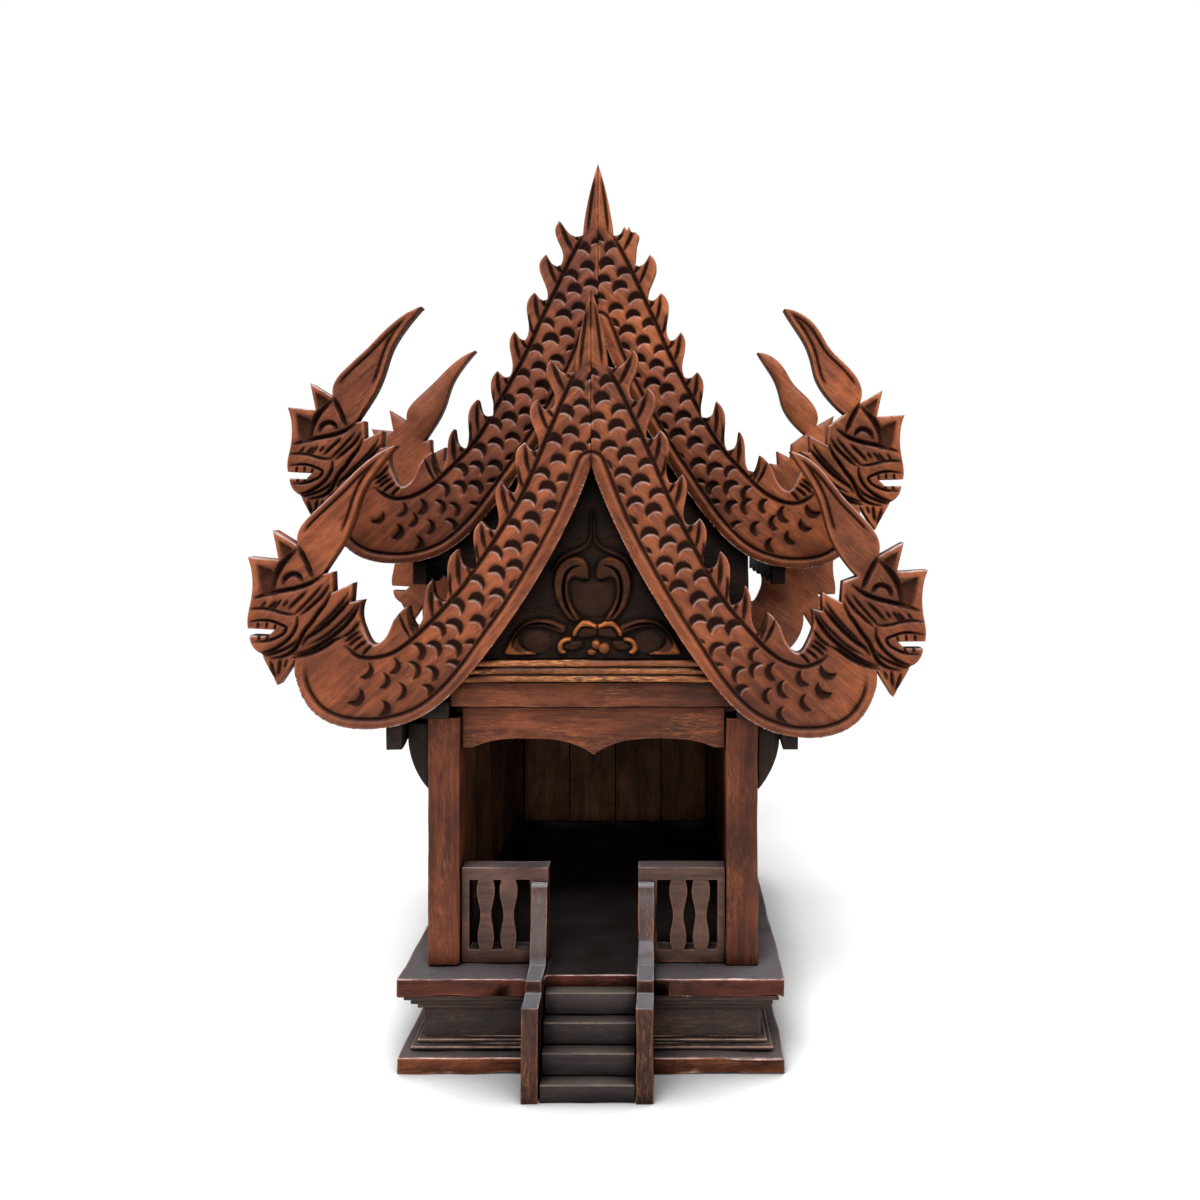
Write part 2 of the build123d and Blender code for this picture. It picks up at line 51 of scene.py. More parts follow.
# ------------------------------------------------------------------ shader helpers
def add_node(tree, kind, sockets=(), **settings):
    node = tree.nodes.new(kind)
    for key, value in settings.items():
        setattr(node, key, value)
    for key, value in dict(sockets).items():
        if isinstance(value, bpy.types.NodeSocket):
            tree.links.new(value, node.inputs[key])
        else:
            node.inputs[key].default_value = value
    return node


def calc(tree, operation, a, b=0.0, c=0.0, clamp=False):
    sockets = {0: a, 1: b}
    if operation in ("MULTIPLY_ADD", "SMOOTH_MIN"):
        sockets[2] = c
    return add_node(tree, "ShaderNodeMath", sockets, operation=operation, use_clamp=clamp).outputs[0]


def spread(tree, value, low, high, to_low=0.0, to_high=1.0):
    """Maps low..high to to_low..to_high, clamped."""
    sockets = {"Value": value, "From Min": low, "From Max": high, "To Min": to_low, "To Max": to_high}
    return add_node(tree, "ShaderNodeMapRange", sockets, clamp=True).outputs[0]


def blend(tree, share, a, b, mode="MIX"):
    node = add_node(tree, "ShaderNodeMix", {0: share}, data_type="RGBA", blend_type=mode)
    for index, value in ((6, a), (7, b)):
        if isinstance(value, bpy.types.NodeSocket):
            tree.links.new(value, node.inputs[index])
        else:
            node.inputs[index].default_value = (*value, 1.0)
    return node.outputs[2]


def noise_at(tree, place, scale, detail=3.0, rough=0.55, distortion=0.0):
    sockets = {"Vector": place, "Scale": scale, "Detail": detail, "Roughness": rough, "Distortion": distortion}
    return add_node(tree, "ShaderNodeTexNoise", sockets).outputs["Fac"]


GRAIN_TURN = {"X": (0, 0, 0), "Y": (0, 0, -math.pi / 2), "Z": (0, math.pi / 2, 0)}


def teak(name, grain, dark, mid, light, worn, pale=(0.34, 0.27, 0.24), figure=0.8, wear=0.8, wear_width=2.0,
         rough=0.5, shine=0.12, attributes=False, grey=(0.0, 0.0, 0.0), dust_and_sheen_from=0.55, hollow_darkening=0.9, flecks=0.3,
         patches=0.6, front_rub=0.5, gloom=0.07, room_floor=False,
         dust_and_sheen_depth=(0.42, 0.80), top_edge_wear_and_highlight=0.0):
    """Stained teak.  grain is an axis name or a turn; worn is rubbed wood, pale the same where it faces up, lightened
    into a painted highlight.
    grey is dust mixed with a painted sheen, on faces that look up by more than dust_and_sheen_from."""
    material = bpy.data.materials.new(name)
    material.use_nodes = True
    tree = material.node_tree
    tree.nodes.clear()
    geometry = add_node(tree, "ShaderNodeNewGeometry")
    coords = add_node(tree, "ShaderNodeTexCoord").outputs["Object"]
    piece = add_node(tree, "ShaderNodeObjectInfo").outputs["Random"]
    island = geometry.outputs["Random Per Island"]
    lot = calc(tree, "ADD", calc(tree, "MULTIPLY", piece, 3.7), calc(tree, "MULTIPLY", island, 2.3))
    turn = GRAIN_TURN.get(grain, grain)
    turned = add_node(tree, "ShaderNodeMapping", {"Vector": coords, "Rotation": turn}).outputs[0]
    shift = add_node(tree, "ShaderNodeCombineXYZ", {"X": lot, "Y": calc(tree, "MULTIPLY", lot, 1.7),
                                                   "Z": calc(tree, "MULTIPLY", lot, 0.6)}).outputs[0]
    place = add_node(tree, "ShaderNodeVectorMath", {0: turned, 1: shift}, operation="ADD").outputs[0]

    def along(factor):
        return add_node(tree, "ShaderNodeMapping", {"Vector": place, "Scale": (factor, 1, 1)}).outputs[0]

    # growth figure: long soft streaks, fine fibres, short open pores
    streaks = noise_at(tree, along(0.07), 260.0, 5.0, 0.65)
    fibres = noise_at(tree, along(0.06), 1300.0, 3.0, 0.6)
    pores = spread(tree, noise_at(tree, along(0.08), 2000.0, 1.0, 0.4), 0.62, 0.74)
    blotch = noise_at(tree, along(0.6), 21.0, 5.0, 0.65)
    cloud = noise_at(tree, along(0.45), 34.0, 5.0, 0.6, 0.6)
    warp = noise_at(tree, along(0.25), 14.0, 2.0)
    bands = add_node(tree, "ShaderNodeTexWave", {
        "Vector": along(0.06), "Scale": 60.0, "Distortion": 5.0, "Detail": 3.0, "Detail Scale": 1.4,
        "Phase Offset": calc(tree, "MULTIPLY", warp, 9.0)}, bands_direction="DIAGONAL").outputs["Fac"]
    colour = blend(tree, spread(tree, streaks, 0.34, 0.56, 1.0 - 0.7 * figure, 1.0), dark, mid)
    colour = blend(tree, spread(tree, bands, 0.0, 1.0, 0.28 * figure, 0.0), colour, dark)
    colour = blend(tree, spread(tree, cloud, 0.46, 0.68, 0.0, 0.75), colour, light)
    colour = blend(tree, spread(tree, streaks, 0.50, 0.68, 0.0, 0.5 * figure), colour, light)
    colour = blend(tree, spread(tree, fibres, 0.36, 0.55, 0.30 * figure, 0.0), colour, dark)
    colour = blend(tree, spread(tree, blotch, 0.34, 0.54, patches, 0.0), colour, dark)
    tone = spread(tree, piece, 0.0, 1.0, 0.88, 1.12)
    tone_rgb = add_node(tree, "ShaderNodeCombineXYZ", {"X": tone, "Y": tone, "Z": tone}).outputs[0]
    colour = blend(tree, 1.0, colour, tone_rgb, "MULTIPLY")
    # the face is sanded through in patches of short flecks
    fleck = spread(tree, noise_at(tree, along(0.16), 820.0, 5.0, 0.75), 0.48, 0.62)
    patch = spread(tree, noise_at(tree, along(0.5), 30.0, 4.0, 0.65), 0.48, 0.62)
    sanded = calc(tree, "MULTIPLY", calc(tree, "MULTIPLY", fleck, patch), flecks)
    colour = blend(tree, sanded, colour, worn)

    # stain and painted shade darken the hollows, and edges are rubbed back to bare wood
    scuff = noise_at(tree, place, 95.0, 4.0, 0.65)
    near = add_node(tree, "ShaderNodeAmbientOcclusion", {"Distance": 12 * MM}, samples=4).outputs["AO"]
    far = add_node(tree, "ShaderNodeAmbientOcclusion", {"Distance": 200 * MM}, samples=4).outputs["AO"]
    # painted shade with stain: creases and corners that the near AO finds are darkened
    darkening = calc(tree, "MULTIPLY", spread(tree, near, 0.82, 0.30), hollow_darkening)
    if attributes:
        cut = add_node(tree, "ShaderNodeAttribute", attribute_name="stain").outputs["Fac"]
        rub = add_node(tree, "ShaderNodeAttribute", attribute_name="wear").outputs["Fac"]
        rub = calc(tree, "MULTIPLY", rub, spread(tree, scuff, 0.38, 0.58, 0.45, 1.0))
        darkening = calc(tree, "MULTIPLY", darkening, spread(tree, rub, 0.0, 0.8, 0.75, 0.1))
        darkening = calc(tree, "MAXIMUM", darkening, cut)
    else:
        bevel = add_node(tree, "ShaderNodeBevel", {"Radius": wear_width * MM}, samples=6).outputs[0]
        meet = add_node(tree, "ShaderNodeVectorMath", {0: bevel, 1: geometry.outputs["Normal"]},
                        operation="DOT_PRODUCT").outputs["Value"]
        rub = spread(tree, meet, 0.995, 0.88)
        rub = calc(tree, "MULTIPLY", rub, spread(tree, scuff, 0.36, 0.58, 0.15, 1.0))
        rub = calc(tree, "MULTIPLY", rub, calc(tree, "SUBTRACT", 1.0, darkening), clamp=True)
    up = add_node(tree, "ShaderNodeSeparateXYZ", {0: geometry.outputs["Normal"]}).outputs["Z"]
    # rubbing is stronger on edges that face up: wear, with a painted highlight there
    rub = calc(tree, "MULTIPLY", rub, spread(tree, up, -0.1, 0.35, front_rub * wear, wear), clamp=True)
    if top_edge_wear_and_highlight:
        # the rounded edge of each upper face, rubbed all along and drawn as a painted highlight line
        edge = calc(tree, "MULTIPLY", spread(tree, up, 0.25, 0.5), spread(tree, up, 0.97, 0.86))
        edge = calc(tree, "MULTIPLY", edge, spread(tree, scuff, 0.34, 0.55, 0.45, 1.0))
        rub = calc(tree, "MAXIMUM", rub, calc(tree, "MULTIPLY", edge, top_edge_wear_and_highlight))
    # edges that face up turn pale: a painted highlight over the rubbed wood
    bare_and_highlight = blend(tree, spread(tree, up, 0.15, 0.6), blend(tree, fibres, worn, light), pale)
    colour = blend(tree, rub, colour, bare_and_highlight)
    deep = (dark[0] * 0.34, dark[1] * 0.52, dark[2] * 0.72)
    colour = blend(tree, calc(tree, "MULTIPLY", darkening, 0.95), colour, deep)
    # dust on faces that look up, mixed with a painted sheen of the sky; it lies where the wide AO finds the face open
    if max(grey) > 0:
        dust_and_sheen = calc(tree, "MULTIPLY", spread(tree, up, dust_and_sheen_from, dust_and_sheen_from + 0.15),
                    spread(tree, blotch, 0.3, 0.6, 0.6, 1.0))
        dust_and_sheen = calc(tree, "MULTIPLY", dust_and_sheen, spread(tree, far, *dust_and_sheen_depth))
        dust_and_sheen = calc(tree, "MULTIPLY", dust_and_sheen, calc(tree, "SUBTRACT", 1.0, rub))
        colour = blend(tree, dust_and_sheen, colour, grey)
    colour = blend(tree, calc(tree, "MULTIPLY", pores, 0.5), colour, deep)
    if room_floor:
        # painted shade darkens the floor indoors, under the roof; a strip in from the stairs is darkened too
        spot = add_node(tree, "ShaderNodeSeparateXYZ", {0: coords})
        across = calc(tree, "ABSOLUTE", spot.outputs["X"])
        indoors = calc(tree, "MULTIPLY", spread(tree, across, 0.106, 0.098),
                       spread(tree, spot.outputs["Y"], -0.146, -0.134))
        way_in = calc(tree, "MAXIMUM", indoors, spread(tree, across, 0.033, 0.030))
        floor_darkening = calc(tree, "MULTIPLY", calc(tree, "MULTIPLY", way_in, spread(tree, up, 0.6, 0.9)),
                     spread(tree, blotch, 0.3, 0.6, 1.0, 0.86))
        colour = blend(tree, floor_darkening, colour, (0.0085, 0.0060, 0.0048))
    # painted shade: the colour is darkened where the wide AO finds the face closed in, down to gloom at the most
    # enclosed
    shade = spread(tree, far, 0.16, 0.62, gloom, 1.0)
    shade_rgb = add_node(tree, "ShaderNodeCombineXYZ", {"X": shade, "Y": shade, "Z": shade}).outputs[0]
    colour = blend(tree, 1.0, colour, shade_rgb, "MULTIPLY")

    relief = calc(tree, "MULTIPLY_ADD", fibres, 0.35, calc(tree, "MULTIPLY", streaks, 0.65))
    relief = calc(tree, "SUBTRACT", relief, calc(tree, "MULTIPLY", pores, 0.5))
    relief = calc(tree, "ADD", relief, calc(tree, "MULTIPLY", noise_at(tree, place, 240.0, 2.0), 0.7))
    bump = add_node(tree, "ShaderNodeBump", {"Strength": 0.5, "Distance": 0.35 * MM, "Height": relief}).outputs[0]
    sheen = spread(tree, streaks, 0.2, 0.8, rough - 0.08, rough + 0.1)
    sheen = calc(tree, "ADD", sheen, calc(tree, "MULTIPLY", darkening, 0.25), clamp=True)
    gloss = calc(tree, "MULTIPLY", spread(tree, darkening, 0.0, 1.0, shine, 0.02), shade)
    shader = add_node(tree, "ShaderNodeBsdfPrincipled", {
        "Base Color": colour, "Roughness": sheen, "Specular IOR Level": gloss, "Normal": bump}).outputs[0]
    out = add_node(tree, "ShaderNodeOutputMaterial")
    tree.links.new(shader, out.inputs["Surface"])
    return material


# ------------------------------------------------------------------ finishes
DARK = (0.036, 0.012, 0.007)
MID = (0.165, 0.043, 0.018)
LIGHT = (0.330, 0.092, 0.034)
WORN = (0.50, 0.17, 0.070)
# the next colour is the naga's pale for worn edges that face up: dust with a painted sheen
DUST_AND_SHEEN = (0.36, 0.33, 0.34)
GOLD = (0.50, 0.155, 0.048)
CHORD_TURN = math.radians(42)

finish = {}
for side, sign in (("left", -1), ("right", 1)):
    for tier, warm in (("lower", 1.0), ("upper", 1.12 if side == "right" else 0.9)):
        finish["naga_%s_%s" % (tier, side)] = teak(
            "naga %s %s" % (tier, side), (0, -sign * CHORD_TURN, 0), DARK,
            (MID[0] * warm, MID[1] * warm, MID[2]), (LIGHT[0] * warm, LIGHT[1] * warm, LIGHT[2]), WORN,
            pale=DUST_AND_SHEEN, figure=0.75, wear=0.85, attributes=True, flecks=0.24, patches=0.6, rough=0.46, shine=0.14)
# the pediment's teak is darkened as painted shade, for it sits back in shade behind the naga boards; its raised parts
# are rubbed to gold
finish["carved_dark"] = teak("carved dark", "X", (0.004, 0.0024, 0.0018), (0.0095, 0.0055, 0.004),
                             (0.022, 0.0090, 0.006), GOLD, pale=GOLD, wear=0.9, attributes=True, flecks=0.03,
                             shine=0.05, front_rub=1.0)

# dark stain, common brown, lighter brown, rubbed wood, then what else differs
LOOKS = {
    "post": ((0.022, 0.009, 0.006), (0.092, 0.024, 0.012), (0.165, 0.046, 0.020), (0.48, 0.17, 0.06),
             {"flecks": 0.22, "patches": 0.8, "figure": 1.0}),
    "frame": ((0.026, 0.010, 0.006), (0.110, 0.030, 0.014), (0.205, 0.060, 0.026), (0.50, 0.18, 0.065),
              {"flecks": 0.3, "patches": 0.85, "figure": 1.0}),
    "band": ((0.026, 0.010, 0.005), (0.195, 0.057, 0.021), (0.40, 0.130, 0.047), (0.72, 0.31, 0.11),
             {"wear": 0.95, "wear_width": 2.8, "flecks": 0.8, "patches": 0.85, "figure": 1.0}),
    "deck": ((0.010, 0.005, 0.004), (0.056, 0.0125, 0.007), (0.120, 0.028, 0.014), (0.50, 0.14, 0.06),
             {"pale": (0.62, 0.44, 0.41), "wear": 1.0, "wear_width": 2.8, "rough": 0.40, "shine": 0.12,
              "grey": (0.096, 0.088, 0.092), "flecks": 0.14, "patches": 0.8, "room_floor": True,
              "dust_and_sheen_depth": (0.22, 0.55), "top_edge_wear_and_highlight": 0.85}),
    "foot": ((0.014, 0.007, 0.005), (0.130, 0.036, 0.017), (0.265, 0.078, 0.030), (0.62, 0.22, 0.08),
             {"pale": (0.62, 0.42, 0.36), "wear": 1.0, "wear_width": 2.8, "rough": 0.42, "shine": 0.12,
              "grey": (0.078, 0.070, 0.074), "flecks": 0.38, "patches": 0.85,
              "dust_and_sheen_depth": (0.06, 0.32), "top_edge_wear_and_highlight": 0.85}),
    "waist": ((0.026, 0.021, 0.020), (0.066, 0.046, 0.041), (0.120, 0.066, 0.048), (0.46, 0.19, 0.09),
              {"pale": (0.56, 0.33, 0.24), "wear": 1.0, "wear_width": 2.4, "rough": 0.42, "shine": 0.2,
               "grey": (0.072, 0.063, 0.064), "flecks": 0.25, "patches": 0.7, "top_edge_wear_and_highlight": 0.45}),
    "tread": ((0.018, 0.013, 0.013), (0.040, 0.029, 0.028), (0.064, 0.047, 0.043), (0.26, 0.18, 0.12),
              {"pale": (0.24, 0.18, 0.14), "rough": 0.5, "grey": (0.090, 0.075, 0.064), "flecks": 0.05,
               "top_edge_wear_and_highlight": 0.5}),
    "rail": ((0.018, 0.011, 0.009), (0.066, 0.031, 0.023), (0.115, 0.053, 0.040), (0.34, 0.14, 0.06),
             {"pale": (0.52, 0.40, 0.38), "wear": 0.8, "rough": 0.42, "shine": 0.2,
              "grey": (0.085, 0.078, 0.081), "flecks": 0.10, "top_edge_wear_and_highlight": 0.6}),
    "stringer": ((0.010, 0.006, 0.005), (0.034, 0.0105, 0.0065), (0.085, 0.026, 0.014), (0.50, 0.17, 0.05),
                 {"pale": (0.42, 0.38, 0.39), "wear": 0.9, "wear_width": 2.4, "rough": 0.36, "shine": 0.22,
                  "grey": (0.122, 0.117, 0.125), "dust_and_sheen_from": 0.12, "flecks": 0.3, "patches": 0.9,
                  "dust_and_sheen_depth": (0.22, 0.55)}),
    # teak darkened as painted shade, for pieces that sit back in shade
    "dark": ((0.007, 0.005, 0.004), (0.019, 0.010, 0.007), (0.044, 0.020, 0.013), (0.22, 0.09, 0.04),
             {"wear": 0.6, "flecks": 0.08}),
    "wall": ((0.026, 0.012, 0.007), (0.122, 0.049, 0.026), (0.230, 0.098, 0.048), (0.38, 0.17, 0.08),
             {"wear": 0.4, "rough": 0.6, "flecks": 0.08, "patches": 0.7, "gloom": 1.0}),
}
for look, (dark, mid, light, worn, extra) in LOOKS.items():
    for axis in "XYZ":
        finish["%s_%s" % (look, axis)] = teak("%s %s" % (look, axis), axis, dark, mid, light, worn, **extra)


# ------------------------------------------------------------------ timber: a CAD solid with hand-planed edges
def wobble(bm, amount, seed):
    """Uneven hand-planed faces: each vertex moves a little inwards, along its normal."""
    bm.normal_update()
    for vert in bm.verts:
        lump = noise.noise(Vector(vert.co) * 38.0 + Vector((seed, seed * 0.7, -seed)))
        vert.co -= vert.normal * amount * MM * min(1.0, max(0.0, 0.5 + 0.9 * lump))


def cut_lengths(bm, axis, pitch):
    low = min(vert.co[axis] for vert in bm.verts)
    high = max(vert.co[axis] for vert in bm.verts)
    count = int((high - low) / (pitch * MM))
    normal = [0, 0, 0]
    normal[axis] = 1
    for index in range(1, count):
        place = [0, 0, 0]
        place[axis] = low + (high - low) * index / count
        geom = bm.verts[:] + bm.edges[:] + bm.faces[:]
        bmesh.ops.bisect_plane(bm, geom=geom, plane_co=place, plane_no=normal, dist=1e-7)


def timber(node_name, material, round_over=0.9, lumps=0.7, pitch=9.0):
    """A copy of the node's solids with rounded, hand-planed edges."""
    source = nodes[node_name]
    bm = bmesh.new()
    bm.from_mesh(source.data)
    bmesh.ops.remove_doubles(bm, verts=bm.verts, dist=2e-6)
    bmesh.ops.dissolve_limit(bm, angle_limit=math.radians(1.0), verts=bm.verts, edges=bm.edges)
    sharp = [edge for edge in bm.edges
             if len(edge.link_faces) == 2 and edge.calc_face_angle(0) > math.radians(35)]
    bmesh.ops.bevel(bm, geom=sharp, offset=round_over * MM, offset_type="OFFSET", segments=2, profile=0.55,
                    affect="EDGES", clamp_overlap=True)
    extent = [max(v.co[a] for v in bm.verts) - min(v.co[a] for v in bm.verts) for a in range(3)]
    for axis in range(3):
        if extent[axis] > 3 * pitch * MM:
            cut_lengths(bm, axis, pitch)
    bmesh.ops.triangulate(bm, faces=[f for f in bm.faces if len(f.verts) > 4])
    if lumps:
        wobble(bm, lumps, (sum(map(ord, node_name)) % 97) * 1.3)
        low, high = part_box(node_name)
        for vert in bm.verts:
            vert.co = [min(max(vert.co[a], low[a]), high[a]) for a in range(3)]
    mesh = bpy.data.meshes.new("teak_" + node_name)
    bm.to_mesh(mesh)
    bm.free()
    mesh.shade_smooth()
    mesh.set_sharp_from_angle(angle=math.radians(38))
    mesh.materials.clear()
    mesh.materials.append(material)
    piece = bpy.data.objects.new("teak_" + node_name, mesh)
    bpy.context.scene.collection.objects.link(piece)
    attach(piece, "root")
    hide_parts(node_name)
    return piece


# ------------------------------------------------------------------ naga carving, in template millimetres
# u runs outwards from the ridge seam and z runs up, as drawn for the lower boards.
RIDGE_Z = 472.0
TIER_RISE = 111.0
HANG = {"left": {"lower": 0.0, "upper": 0.0}, "right": {"lower": 0.038, "upper": 0.024}}
LIFT = {"left": {"lower": 0.0, "upper": 9.0}, "right": {"lower": 9.0, "upper": 9.0}}

UNDER = [(0, 422), (18, 379), (48.5, 326), (78, 285), (98, 262.5), (119, 247), (140, 240), (157, 238.6),
         (176, 241), (191, 248.6), (200.7, 261), (205, 273), (205, 288)]
CREST = [(10.8, 487), (12.5, 483), (18.6, 470), (24.3, 456.5), (31.4, 439.5), (37.8, 424), (44.1, 409.7),
         (50.2, 397), (57, 385.5), (63.6, 375), (68.4, 367.7), (77.3, 354.8), (83.7, 345.2), (89.4, 337.1),
         (96.7, 328.9), (102.3, 322.5), (109.6, 315.3), (117.7, 307.2), (125.7, 299.9), (133, 295),
         (142.2, 290.2), (156.5, 288.4), (164, 291), (170.8, 297)]
FLAME_TIPS = [(127.3, 324.1), (110.6, 341.9), (92.2, 364.1), (76.2, 383.2), (62.4, 411), (45.9, 437.9),
              (37.4, 467.8), (27.6, 495.4)]
FLAME_NOTCHES = [(137, 314.4), (120.9, 309.3), (101, 327.5), (80.5, 350), (65.7, 377.6), (53.3, 403),
                 (36.5, 433.8), (26.5, 462), (11, 487.5)]

# every head line: points, width, depth
HEAD_LINES = [
    # horn root, brow leaf, eye
    ([(203, 366), (197.5, 355), (193, 343.5)], 2.6, 2.4),
    ([(220.5, 331.5), (220.5, 340), (217.5, 348), (212, 356.5), (204.5, 363.5)], 3.2, 2.8),
    ([(214, 339), (211.5, 344.5), (206.5, 347), (202.5, 345.5), (200, 341)], 2.6, 2.4),
    ([(212, 337), (207, 335.6), (202, 337.5)], 1.6, 1.2),
    # cheek ridge's upper groove, running into the mane
    ([(233, 330), (224, 333), (214, 335.2), (204, 337.2), (195, 340.3), (186, 346)], 2.4, 2.6),
    ([(224, 322), (218, 328)], 1.8, 1.5),
    ([(220.5, 322), (214.5, 329)], 1.6, 1.4),
    ([(213.5, 324), (210, 328.5)], 1.6, 1.3),
    ([(229, 323), (225, 328)], 1.5, 1.1),
    # lips
    ([(236.5, 322.4), (230, 323), (222, 322), (214, 319.7), (208, 318.8), (203, 319.5)], 1.5, 1.4),
    ([(203.5, 317.5), (204, 311.5), (207, 305.2), (211, 300.6), (217, 296.2), (223, 293.3), (230, 291.4)], 1.9, 2.2),
    ([(237, 313.4), (230, 314.6), (222, 314.2), (216, 312), (211.2, 309.4), (213.2, 305.4), (218, 302.6),
      (225, 300.2), (234, 299.6)], 1.5, 2.0),
    ([(231.2, 308.6), (230.6, 313.2)], 1.2, 1.8),
    ([(225, 308.4), (224.6, 313)], 1.2, 1.8),
    ([(219.5, 308), (218.5, 311.6)], 1.2, 1.6),
    ([(230, 304.4), (230.5, 300.6)], 1.2, 1.8),
    ([(224, 303.8), (225, 300.8)], 1.2, 1.8),
    # jaw
    ([(228.4, 289.9), (222, 291), (214.5, 293.6), (207.5, 297.5), (203.2, 302)], 1.8, 2.0),
    # mane locks
    ([(222, 288), (213, 289.8), (206, 294), (202.6, 300), (199, 307), (194, 313), (189, 320), (184, 326.5),
      (180.4, 334)], 2.2, 2.6),
    ([(201.5, 318), (195, 323.5), (187, 331), (181.5, 339)], 1.9, 2.0),
    ([(210, 322), (204.6, 327.6), (197, 334.6)], 1.8, 1.8),
    ([(206, 318), (199, 325), (191, 333.5), (186, 339.6)], 1.7, 1.7),
    ([(200.4, 297), (196.6, 302.6), (190, 306.8), (182, 313), (175, 320), (169.5, 326), (166, 330)], 2.2, 2.5),
    ([(195, 304.6), (186, 313), (178, 321), (172, 328), (168, 334)], 1.7, 1.7),
    ([(206, 290.5), (196, 293.6), (186, 299), (178, 304.5), (170, 311.5), (163.5, 320), (159.5, 328)], 2.2, 2.5),
    ([(196, 297.4), (185, 303.4), (176, 310.6), (168, 318.6), (162.4, 326)], 1.6, 1.6),
    ([(207, 288.4), (196, 291.2), (186, 295.4), (178, 300.6), (172.5, 303)], 2.0, 2.4),
    # fan on the neck
    ([(172.5, 302.5), (166, 307), (160.4, 313.6)], 1.8, 1.8),
    ([(170.6, 299.4), (165.4, 303.4), (160.6, 307)], 1.8, 1.8),
    ([(168.4, 296.4), (163.6, 300.6), (158.4, 303.8)], 1.8, 1.8),
    ([(164.4, 293.4), (160.4, 297.2), (155.6, 300.4)], 1.8, 1.8),
    ([(158.6, 290), (155.6, 294), (151.8, 297.2)], 1.8, 1.6),
    # beard
    ([(222, 286.2), (220.6, 280), (218.8, 273.6)], 1.8, 1.7),
    ([(215.4, 287.6), (216, 282), (217, 276.4)], 1.8, 1.7),
    ([(210.4, 287.4), (212.6, 281.6)], 1.4, 1.2),
]
# sunk fields between the crown's rims
HEAD_FIELDS = [
    ([(232, 354), (221.5, 350), (219, 347), (221, 340), (222, 333.4), (228, 331.6), (230.2, 340)], 2.4),
    ([(217.4, 371), (206.4, 364.4), (211.6, 359), (215, 356)], 2.2),
]

RASTER_STEP = 0.5


def smooth_line(points, step=1.5):
    """Catmull-Rom curve through the points, resampled."""
    pts = [np.array(p, float) for p in points]
    if len(pts) == 2:
        pts.insert(1, (pts[0] + pts[1]) / 2)
    pts = [2 * pts[0] - pts[1]] + pts + [2 * pts[-1] - pts[-2]]
    out = []
    for a, b, c, d in zip(pts, pts[1:], pts[2:], pts[3:]):
        count = max(2, int(np.linalg.norm(c - b) / step))
        for t in np.arange(count) / count:
            out.append(0.5 * (2 * b + (c - a) * t + (2 * a - 5 * b + 4 * c - d) * t ** 2
                              + (3 * b - a - 3 * c + d) * t ** 3))
    out.append(pts[-2])
    return np.array(out)


def measure(points, line):
    """Distance from each point to a polyline, the length along it and the side (+ is to its left)."""
    best = np.full(len(points), 1e9)
    length = np.zeros(len(points))
    side = np.ones(len(points))
    run = 0.0
    for a, b in zip(line, line[1:]):
        d = b - a
        size = float(np.hypot(*d))
        if size < 1e-9:
            continue
        rel = points - a
        t = np.clip((rel @ d) / size ** 2, 0, 1)
        off = rel - t[:, None] * d
        dist = np.hypot(off[:, 0], off[:, 1])
        near = dist < best
        best[near] = dist[near]
        length[near] = run + t[near] * size
        cross = d[0] * rel[:, 1] - d[1] * rel[:, 0]
        side[near] = np.where(cross[near] >= 0, 1.0, -1.0)
        run += size
    return best, length, side, run


